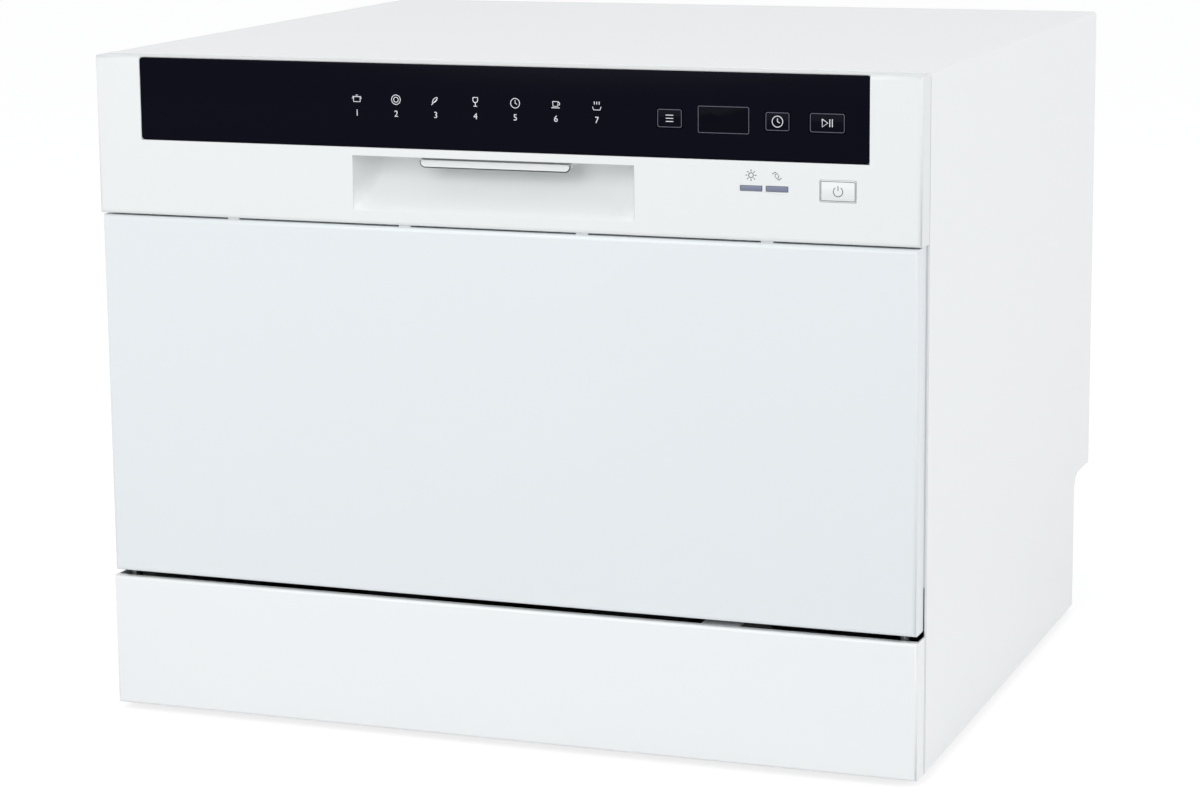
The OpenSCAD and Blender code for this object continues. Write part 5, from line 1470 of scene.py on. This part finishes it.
@dataclass
class DishRack:
    """The wire rack on its wheels, with the tines, the folding shelf and the cutlery basket."""

    shop: Workshop
    wire_r: float = 1.6 * MM
    rim_r: float = 2.25 * MM
    floor_x: float = 208 * MM
    rim_x: float = 226 * MM
    floor_y: Flat = (-150 * MM, 172 * MM)
    rim_y: Flat = (-178 * MM, 182 * MM)
    floor_z: float = 168 * MM
    rim_z: float = 250 * MM
    long_wires: int = 11
    cross_wires: int = 8
    bend: float = 9 * MM
    tine_rows: tuple[float, ...] = (-70 * MM, 20 * MM)
    tines: int = 11
    tine_h: float = 68 * MM
    tine_lean: float = 10 * MM
    shelf_wires: int = 9
    middle_y: float = -1 * MM
    clip_y: float = 80 * MM
    axle_z: float = 154.3 * MM
    axle_y: Flat = (-81 * MM, 126 * MM)
    wheel_x: float = 224.0
    slot_pitch: float = 7.9 * MM

    def build(self) -> None:
        """Makes the rack and what it carries."""
        self.wires()
        self.carriers()
        self.plate_tines()
        self.shelf()
        self.basket()
        self.wheels()

    def ring(self, x: float, y0: float, y1: float, z: float) -> list[Point]:
        """Gives the path of a ring of wire, which starts in the middle of its front."""
        return [(0.0, y0, z), (-x, y0, z), (-x, y1, z), (x, y1, z), (x, y0, z)]

    def wires(self) -> None:
        """Makes the rack's own wires and its rim."""
        paths = []
        for number in range(self.long_wires):
            x = (self.floor_x - 14 * MM) * (2 * number / (self.long_wires - 1) - 1)
            paths.append([(x, self.rim_y[0], self.rim_z), (x, self.floor_y[0], self.floor_z),
                          (x, self.floor_y[1], self.floor_z), (x, self.rim_y[1], self.rim_z)])
        z = self.floor_z + 2 * self.wire_r - 0.4 * MM
        first, last = self.floor_y[0] + 10 * MM, self.floor_y[1] - 8 * MM
        for number in range(self.cross_wires):
            y = first + (last - first) * number / (self.cross_wires - 1)
            paths.append([(-self.rim_x, y, self.rim_z), (-self.floor_x, y, z), (self.floor_x, y, z),
                          (self.rim_x, y, self.rim_z)])
        net = self.shop.wires("rack_net", paths, self.wire_r, "coated_wire", self.bend, 10)
        out = 2.2 * MM
        x = (self.rim_x + self.floor_x) / 2 + out
        y0 = (self.rim_y[0] + self.floor_y[0]) / 2 - out
        y1 = (self.rim_y[1] + self.floor_y[1]) / 2 + out
        belt = self.shop.wires("rack_belt", [self.ring(x, y0, y1, (self.rim_z + self.floor_z) / 2)],
                               self.wire_r, "coated_wire", 15 * MM, 10, True)
        rim = self.shop.wires("rack_rim", [self.ring(self.rim_x, *self.rim_y, self.rim_z)], self.rim_r,
                              "coated_wire", 17 * MM, 14, True)
        self.shop.place(smooth(joined("rack_wires", [net, belt, rim]), 50), "dish_rack", "coated_wire",
                        "dish_rack")

    def carriers(self) -> None:
        """Makes the four axle carriers and the two clips of the shelf."""
        spans = []
        axles = []
        for y in self.axle_y:
            for side in (-1, 1):
                for x0, x1, z0 in ((192 * MM, 223 * MM, 167 * MM), (217 * MM, 223 * MM, 150.3 * MM)):
                    near, far = sorted((side * x0, side * x1))
                    spans.append(((near, y - 8 * MM, z0), (far, y + 8 * MM, 171.2 * MM)))
                profile = [(side * 216 * MM, 0.0), (side * 216 * MM, 3 * MM), (side * 234.2 * MM, 3 * MM),
                           (side * 234.35 * MM, 4.5 * MM), (side * 235.6 * MM, 4.2 * MM),
                           (side * 236.0 * MM, 3.2 * MM), (side * 236.0 * MM, 0.0)]
                axles.append(smooth(lathe("axle", profile, (0.0, y, self.axle_z), "x", 24), 40))
        rod_x, rod_z = self.rim_x - 2 * MM, self.rim_z + 12 * MM
        clips = []
        for y in (self.middle_y - self.clip_y, self.middle_y + self.clip_y):
            clip = boxes("clip", [((rod_x - 4.5 * MM, y - 6 * MM, self.rim_z),
                                   (rod_x + 4.5 * MM, y + 6 * MM, rod_z + 4.5 * MM))])
            bore = lathe("bore", [(-7 * MM, 0.0), (-7 * MM, 2.1 * MM), (7 * MM, 2.1 * MM), (7 * MM, 0.0)],
                         (rod_x, y, rod_z), "y", 24)
            clips.append(bevelled(cut(clip, bore), 0.6 * MM))
        arms = bevelled(boxes("arms", spans), 0.8 * MM)
        piece = joined("rack_carriers", [arms, *axles, *clips])
        self.shop.place(smooth(piece, 40), "dish_rack", "coated_wire")

    def plate_tines(self) -> None:
        """Makes the two rows of tines, each bent up from its rod, with rounded tips."""
        z0 = self.floor_z + 3 * self.wire_r - 0.4 * MM + 2 * MM
        paths, tips = [], []
        first, last = self.floor_y[0] + 24 * MM, self.floor_y[1] - 24 * MM
        for x in self.tine_rows:
            for number in range(self.tines):
                y = first + (last - first) * number / (self.tines - 1)
                top = (x, y + self.tine_lean, z0 + self.tine_h - 1 * MM)
                paths.append([(x, y, z0), (x, y + 0.35 * self.tine_lean, z0 + 0.4 * self.tine_h), top])
                tips.append(top)
        pins = self.shop.wires("tine_pins", paths, self.wire_r, "coated_wire", 30 * MM, 10)
        lines = [[(x, self.floor_y[0] + 6 * MM, z0), (x, self.floor_y[1] - 4 * MM, z0)]
                 for x in self.tine_rows]
        rods = self.shop.wires("tine_rods", lines, 2 * MM, "coated_wire", 0.0, 12)
        radius = self.wire_r * 1.12
        ball = lathe("ball", [(radius * math.sin(math.radians(a)), radius * math.cos(math.radians(a)))
                              for a in range(-90, 91, 30)], ORIGIN, "z", 10)
        balls = self.shop.scatter("tine_tips", ball, tips, "coated_wire")
        self.shop.place(smooth(joined("tine_rows", [pins, rods, balls]), 50), "dish_rack", "coated_wire",
                        "plate_tines")

    def shelf(self) -> None:
        """Makes the folding shelf: a rod in the clips, a bent frame and the wires across."""
        x1, z = self.rim_x - 2 * MM, self.rim_z + 12 * MM
        x0 = x1 - 106 * MM
        y0, y1 = self.middle_y - 115 * MM, self.middle_y + 115 * MM
        rod = self.shop.wires("shelf_rod", [[(x1, y0 - 2 * MM, z), (x1, y1 + 2 * MM, z)]], 2 * MM,
                              "coated_wire", 0.0, 14)
        hoop = self.shop.wires("shelf_hoop", [[(x1, y1, z), (x0, y1, z), (x0, y0, z), (x1, y0, z)]], 1.9 * MM,
                               "coated_wire", 14 * MM, 12)
        paths = []
        for number in range(1, self.shelf_wires - 1):
            y = y0 + (y1 - y0) * number / (self.shelf_wires - 1)
            if abs(abs(y - self.middle_y) - self.clip_y) > 12 * MM:
                paths.append([(x1, y, z), (x0, y, z)])
        bars = self.shop.wires("shelf_bars", paths, self.wire_r, "coated_wire", 0.0, 10)
        self.shop.place(smooth(joined("cup_shelf_wires", [rod, hoop, bars]), 50), "cup_shelf", "coated_wire",
                        "cup_shelf")

    def basket(self) -> None:
        """Makes the cutlery basket with slots in its walls and its floor."""
        low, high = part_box("cutlery_basket")
        wall, pitch = 2 * MM, self.slot_pitch
        cell_pitch = (high.y - low.y - wall) / 4
        across = [low.x + 7.4 * MM + k * pitch for k in range(9)]
        along = [low.y + wall + cell * cell_pitch + 3.6 * MM + k * 7.6 * MM
                 for cell in range(4) for k in range(5)]
        rows = [low.z + 9 * MM + 33 * MM * k for k in range(3)]
        wide, narrow, tall, deep = 5.2 * MM, 4.8 * MM, 27 * MM, 5 * MM
        spans = []
        for y in along:
            spans += [((x - deep, y, z), (x + deep, y + narrow, z + tall))
                      for x in (low.x, high.x) for z in rows]
            spans += [((x + 0.6 * MM, y, low.z - 4 * MM), (x + 0.6 * MM + wide, y + narrow, low.z + 4 * MM))
                      for x in across]
        for x in across:
            spans += [((x, y - deep, z), (x + wide, y + deep, z + tall))
                      for y in (low.y, high.y) for z in rows]
        form = mesh_object("cutlery_basket_form", merged("cutlery_basket"))
        cut(form, boxes("slots", spans))
        rim_z = low.z + 110.8 * MM
        band = [(u, v, rim_z) for u, v in rounded_rect(low.x, high.x, low.y, high.y, 6 * MM)]
        rim = self.shop.wires("rim", [band], 1.5 * MM, "grey_plastic", 0.0, 8, True)
        piece = joined("basket_form", [bevelled(form, 0.3 * MM, 1), rim])
        self.shop.place(smooth(piece, 40), "cutlery_basket", "grey_plastic", "cutlery_basket")

    def wheels(self) -> None:
        """Makes both pairs of wheels, each with a groove, a web and a hub."""
        profile = ((0.0, 3.06), (0.0, 5.2), (1.2, 5.4), (1.4, 8.6), (0.3, 8.9), (0.3, 10.6), (1.0, 11.0),
                   (4.2, 11.0), (4.7, 10.5), (5.3, 10.5), (5.8, 11.0), (9.0, 11.0), (9.7, 10.6), (9.7, 8.9),
                   (8.6, 8.6), (8.8, 5.4), (10.0, 5.2), (10.0, 3.06))
        for body, y in (("front_wheels", self.axle_y[0]), ("rear_wheels", self.axle_y[1])):
            pair = []
            for side in (-1, 1):
                turned = [(side * (self.wheel_x + along) * MM, radius * MM) for along, radius in profile]
                pair.append(lathe("wheel", turned, (0.0, y, self.axle_z), "x", 40, True))
            self.shop.place(smooth(joined(body + "_form", pair), 35), body, "pale_plastic", body)


@dataclass
class WashSystem:
    """The tub with its seal, the spray arm, the filters and the salt cap."""

    shop: Workshop
    seal_w: float = 8 * MM
    seal_corner: float = 9 * MM
    bead_r: float = 3 * MM
    bead_z: Flat = (232 * MM, 370 * MM)
    rear_bead_z: float = 160 * MM
    side_bead_y: float = 165 * MM
    rear_bead_x: float = 200 * MM
    wall_x: float = 243 * MM
    wall_y: float = 194 * MM
    arm_z: float = 128.2 * MM
    arm_reach: float = 178 * MM
    arm_half: float = 17 * MM
    arm_turn: float = 18.0
    middle_y: float = -1 * MM
    hole_pitch: float = 5.2 * MM
    arm_root: float = 14 * MM
    nozzle_places: tuple[float, ...] = (38 * MM, 68 * MM, 96 * MM, 122 * MM, 146 * MM, 163 * MM)
    filter_edge: float = 8 * MM
    filter_corner: float = 30 * MM
    filter_wells: tuple[Flat, ...] = ((-60 * MM, 33 * MM), (0.0, 21 * MM))
    cap_rib_count: int = 28
    cap_rib_z: float = 123.3 * MM

    def build(self) -> None:
        """Makes all the pieces in the tub."""
        shop = self.shop
        shop.soften("wash_tub", "cabinet", "stainless", 0.25 * MM)
        shop.soften("spray_hub", "cabinet", "grey_plastic", 0.8 * MM, 3)
        shop.soften("cylinder_filter", "cylinder_filter", "grey_plastic", 0.5 * MM)
        shop.soften("salt_cap", "salt_cap", "dark_plastic", 0.6 * MM, 3)
        shop.soften("rack_rails", "cabinet", "stainless", 0.3 * MM)
        shop.soften("strike_plate", "cabinet", "bright_steel", 0.4 * MM)
        shop.soften("hinge_brackets", "cabinet", "galvanised", 0.3 * MM)
        self.tub_beads()
        self.seal()
        self.arm()
        self.nozzles()
        self.flat_filter()
        self.cap_ribs()

    def tub_beads(self) -> None:
        """Makes the pressed beads in the tub's walls."""
        sunk = 0.62 * self.bead_r
        z0, z1 = self.bead_z
        half, wide, low_z = self.side_bead_y, self.rear_bead_x, self.rear_bead_z
        paths = []
        for x in (-self.wall_x - sunk, self.wall_x + sunk):
            paths.append([(x, -half, z0), (x, half, z0), (x, half, z1), (x, -half, z1)])
        y = self.wall_y + sunk
        paths.append([(-wide, y, low_z), (wide, y, low_z), (wide, y, z1), (-wide, y, z1)])
        piece = self.shop.wires("tub_beads", paths, self.bead_r, "stainless", 24 * MM, 16, True)
        self.shop.place(piece, "cabinet", "stainless")

    def seal(self) -> None:
        """Makes the seal: a foot on the tub's flange, a fold and a bulb that the door presses on."""
        low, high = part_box("tub_seal")
        profile = ((0.0, 1.0), (0.0, 0.62), (0.16, 0.60), (0.16, 0.52), (0.05, 0.45), (0.03, 0.25),
                   (0.14, 0.08), (0.34, 0.0), (0.62, 0.0), (0.84, 0.08), (0.96, 0.25), (0.95, 0.45),
                   (0.84, 0.52), (0.84, 0.60), (1.0, 0.62), (1.0, 1.0))
        rings = []
        for across, deep in profile:
            out = self.seal_w * across
            inset = self.seal_w - out
            outline = rounded_rect(low.x + inset, high.x - inset, low.z + inset, high.z - inset,
                                   self.seal_corner + out, 8)
            rings.append([(u, low.y + (high.y - low.y) * deep, v) for u, v in outline])
        form = smooth(loft("seal_form", rings, closed=True), 45)
        self.shop.place(form, "cabinet", "seal_rubber", "tub_seal")

    def arm(self) -> None:
        """Makes the spray arm: two rounded blades on a hub with a bore."""
        turn = Matrix.Translation((0.0, self.middle_y, self.arm_z)) @ Matrix.Rotation(
            math.radians(self.arm_turn), 4, "Z")
        blades = []
        for side in (0.0, math.pi):
            rings = []
            flip = turn @ Matrix.Rotation(side, 4, "Z")
            for share in (0.0, 0.06, 0.2, 0.4, 0.6, 0.8, 0.9, 0.96, 0.99, 1.0):
                x = self.arm_root + (self.arm_reach - self.arm_root) * share
                blunt = math.sqrt(max(0.0, 1 - max(0.0, (share - 0.9) / 0.1) ** 2))
                half = (self.arm_half * (1 - 0.32 * share)) * max(blunt, 0.05)
                rise = 2 * MM * share
                tall = 9 * MM - 1.5 * rise
                ring = []
                for cos, sin in circle(1.0, 24):
                    u = half * math.copysign(abs(cos) ** 0.55, cos)
                    v = tall / 2 * math.copysign(abs(sin) ** 0.75, sin) * (0.25 + 0.75 * max(blunt, 0.2))
                    ring.append(tuple(flip @ Vector((x, u, rise + tall / 2 + v))))
                rings.append(ring)
            blades.append(loft("blade", rings))
        profile = ((0.0, 11.06), (0.0, 17.0), (0.8, 18.0), (9.6, 18.0), (10.6, 17.2), (11.0, 16.0),
                   (11.0, 11.06))
        hub = lathe("hub", [(z * MM, radius * MM) for z, radius in profile], (0.0, self.middle_y, self.arm_z),
                    "z", 48, True)
        form = smooth(joined("arm_form", [*blades, hub]), 40)
        self.shop.place(form, "spray_arm", "pale_plastic", "spray_arm")

    def nozzles(self) -> None:
        """Makes the raised jets along both blades."""
        turn = math.radians(self.arm_turn)
        rim = [(0.0, 0.0), (0.0, 2.6), (0.9, 2.4), (1.3, 1.9), (1.3, 1.1), (0.7, 0.9), (0.7, 0.0)]
        jet = lathe("jet", [(z * MM, radius * MM) for z, radius in rim], ORIGIN, "z", 16)
        places = []
        for number, reach in enumerate(self.nozzle_places):
            share = (reach - self.arm_root) / (self.arm_reach - self.arm_root)
            z = self.arm_z + 8.75 * MM - 1 * MM * share
            off = (4.5 * MM if number % 2 else -4.5 * MM) * (1 - 0.4 * share)
            for side in (-1, 1):
                x = side * reach * math.cos(turn) - side * off * math.sin(turn)
                y = self.middle_y + side * reach * math.sin(turn) + side * off * math.cos(turn)
                places.append((x, y, z))
        piece = self.shop.scatter("arm_jets", jet, places, "pale_plastic")
        self.shop.place(smooth(piece, 40), "spray_arm", "pale_plastic")

    def flat_filter(self) -> None:
        """Makes the pattern of fine holes in the flat filter as flat dark discs of painted shade, clear of
        its rim and its two wells.
        """
        self.shop.soften("flat_filter", "cabinet", "stainless", 0.3 * MM)
        low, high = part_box("flat_filter")
        inner, corner, row_pitch = self.filter_edge, self.filter_corner, self.hole_pitch * 0.866
        half_x, half_y, centre_x = (high.x - low.x) / 2, (high.y - low.y) / 2, (low.x + high.x) / 2
        places = []
        for row in range(int((high.y - low.y - 2 * inner) / row_pitch) + 1):
            y = low.y + inner + row * row_pitch
            x = low.x + inner + (self.hole_pitch / 2 if row % 2 else 0.0)
            while x < high.x - inner:
                past = math.hypot(max(0.0, abs(x - centre_x) - half_x + corner),
                                  max(0.0, abs(y - self.middle_y) - half_y + corner))
                dry = all(math.hypot(x - u, y - self.middle_y) > r for u, r in self.filter_wells)
                if dry and past < corner - inner / 2:
                    places.append((x, y, high.z))
                x += self.hole_pitch
        # Each hole is a flat dark disc on the filter's face: painted shade in place of an open hole.
        profile = ((-0.1, 0.0), (-0.1, 1.05), (0.04, 1.05), (0.04, 0.0))
        hole = lathe("hole", [(z * MM, radius * MM) for z, radius in profile], ORIGIN, "z", 8)
        self.shop.place(self.shop.scatter("filter_holes", hole, places, "painted_hole_shade"), "cabinet", "painted_hole_shade")

    def cap_ribs(self) -> None:
        """Makes the grip ribs round the salt cap."""
        low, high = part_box("salt_cap")
        centre = (low + high) / 2
        profile = ((0.4, 0.0), (0.4, 1.0), (3.0, 1.0), (3.5, 0.6), (3.5, 0.0))
        rib = lathe("rib", [(z * MM, radius * MM) for z, radius in profile], ORIGIN, "z", 8)
        places = [(centre.x + u, centre.y + v, self.cap_rib_z)
                  for u, v in circle((high.x - low.x) / 2 - 0.5 * MM, self.cap_rib_count)]
        piece = self.shop.scatter("cap_ribs", rib, places, "dark_plastic")
        self.shop.place(smooth(piece, 40), "salt_cap", "dark_plastic")


@dataclass
class Studio:
    """The camera, the floor and the light."""

    lens: float = 98.0
    place: Point = (0.760, -2.115, 0.624)
    azimuth: float = 20.28
    elevation: float = 10.54
    roll: float = -0.53
    shift_y: float = -0.03
    floor_size: float = 14.0
    world_light: float = 0.62
    floor_tone: float = 0.80

    def build(self) -> None:
        """Makes the camera, the world, the floor and the lamps."""
        scene = bpy.context.scene
        scene.view_settings.view_transform = "Standard"
        self.camera(scene)
        self.world(scene)
        self.floor()
        self.lamp("key_light", (-0.9, -3.0, 1.6), 2.6, 46.0)
        self.lamp("side_light", (2.9, -0.4, 1.3), 2.2, 27.0)
        self.lamp("top_light", (0.2, -0.2, 2.8), 2.4, 2.0)

    def camera(self, scene: bpy.types.Scene) -> None:
        """Sets the camera at the photograph's place.

        Args:
            scene: the scene that it is for.
        """
        across, up = math.radians(self.azimuth), math.radians(self.elevation)
        ahead = Vector((-math.sin(across) * math.cos(up), math.cos(across) * math.cos(up), -math.sin(up)))
        right = Vector((math.cos(across), math.sin(across), 0.0))
        turned = Matrix.Rotation(-math.radians(self.roll), 3, ahead)
        right = turned @ right
        above = right.cross(ahead)
        data = bpy.data.cameras.new("view")
        data.lens = self.lens
        data.sensor_width = 36.0
        data.shift_y = self.shift_y
        data.clip_end = 60.0
        camera = bpy.data.objects.new("view", data)
        columns = Matrix((right, above, -ahead)).transposed()
        camera.matrix_world = Matrix.Translation(self.place) @ columns.to_4x4()
        scene.collection.objects.link(camera)
        scene.camera = camera

    def seen_directly(self, wiring: Wiring) -> bpy.types.NodeSocket:
        """Gives a factor of 1 for camera, glossy and transmission rays.

        Args:
            wiring: the tree that gets the nodes.

        Returns:
            The socket of the factor.
        """
        path = wiring.add("ShaderNodeLightPath")
        first = wiring.calc("MAXIMUM", path.outputs["Is Camera Ray"], path.outputs["Is Glossy Ray"])
        return wiring.calc("MAXIMUM", first, path.outputs["Is Transmission Ray"])

    def world(self, scene: bpy.types.Scene) -> None:
        """Makes a world that looks white and lights softly.

        Args:
            scene: the scene that it is for.
        """
        world = bpy.data.worlds.new("studio")
        world.use_nodes = True
        scene.world = world
        wiring = Wiring(world.node_tree)
        world.node_tree.nodes.clear()
        soft = wiring.add("ShaderNodeBackground", {"Color": (0.97, 0.985, 1.0, 1.0),
                                                   "Strength": self.world_light})
        white = wiring.add("ShaderNodeBackground", {"Color": (1.0, 1.0, 1.0, 1.0), "Strength": 1.0})
        mixed = wiring.add("ShaderNodeMixShader", {0: self.seen_directly(wiring), 1: soft.outputs[0],
                                                   2: white.outputs[0]})
        wiring.add("ShaderNodeOutputWorld", {"Surface": mixed.outputs[0]})

    def floor(self) -> None:
        """Makes a floor that is white where the light is open, keeps the shadow and is clear from below."""
        half = self.floor_size / 2
        shape = bmesh.new()
        shape.faces.new([shape.verts.new((x, y, 0.0)) for x, y in
                         ((-half, -half), (half, -half), (half, half), (-half, half))])
        floor = mesh_object("studio_floor", shape)
        material = bpy.data.materials.new("studio_floor")
        material.use_nodes = True
        wiring = Wiring(material.node_tree)
        material.node_tree.nodes.clear()
        matt = wiring.add("ShaderNodeBsdfDiffuse", {"Color": (0.8, 0.8, 0.8, 1.0)})
        faint = wiring.add("ShaderNodeBsdfDiffuse", {"Color": (0.3, 0.3, 0.3, 1.0)})
        glow = wiring.add("ShaderNodeEmission", {"Color": (1.0, 1.0, 1.0, 1.0), "Strength": self.floor_tone})
        seen = wiring.add("ShaderNodeAddShader", {0: faint.outputs[0], 1: glow.outputs[0]})
        mixed = wiring.add("ShaderNodeMixShader", {0: self.seen_directly(wiring), 1: matt.outputs[0],
                                                   2: seen.outputs[0]})
        clear = wiring.add("ShaderNodeBsdfTransparent")
        below = wiring.add("ShaderNodeNewGeometry").outputs["Backfacing"]
        sided = wiring.add("ShaderNodeMixShader", {0: below, 1: mixed.outputs[0], 2: clear.outputs[0]})
        wiring.add("ShaderNodeOutputMaterial", {"Surface": sided.outputs[0]})
        floor.data.materials.append(material)

    def lamp(self, name: str, place: Point, size: float, power: float) -> None:
        """Makes a large soft lamp that faces the object.

        Args:
            name: the lamp's name.
            place: where it stands.
            size: its diameter.
            power: its power in watts.
        """
        data = bpy.data.lights.new(name, "AREA")
        data.shape = "DISK"
        data.size = size
        data.energy = power
        lamp = bpy.data.objects.new(name, data)
        towards = Vector((0.0, 0.0, 0.2)) - Vector(place)
        lamp.matrix_world = Matrix.Translation(place) @ towards.to_track_quat("-Z", "Y").to_matrix().to_4x4()
        bpy.context.scene.collection.objects.link(lamp)


def main() -> None:
    """Builds the studio and every sub-assembly."""
    logging.basicConfig(level=logging.INFO, format="%(name)s: %(message)s")
    Studio().build()
    shop = Workshop()
    Cabinet(shop).build()
    Door(shop).build()
    ControlPanel(shop).build()
    Dispenser(shop).build()
    DishRack(shop).build()
    WashSystem(shop).build()
    shop.dress_rest()


if __name__ == "__main__":
    main()
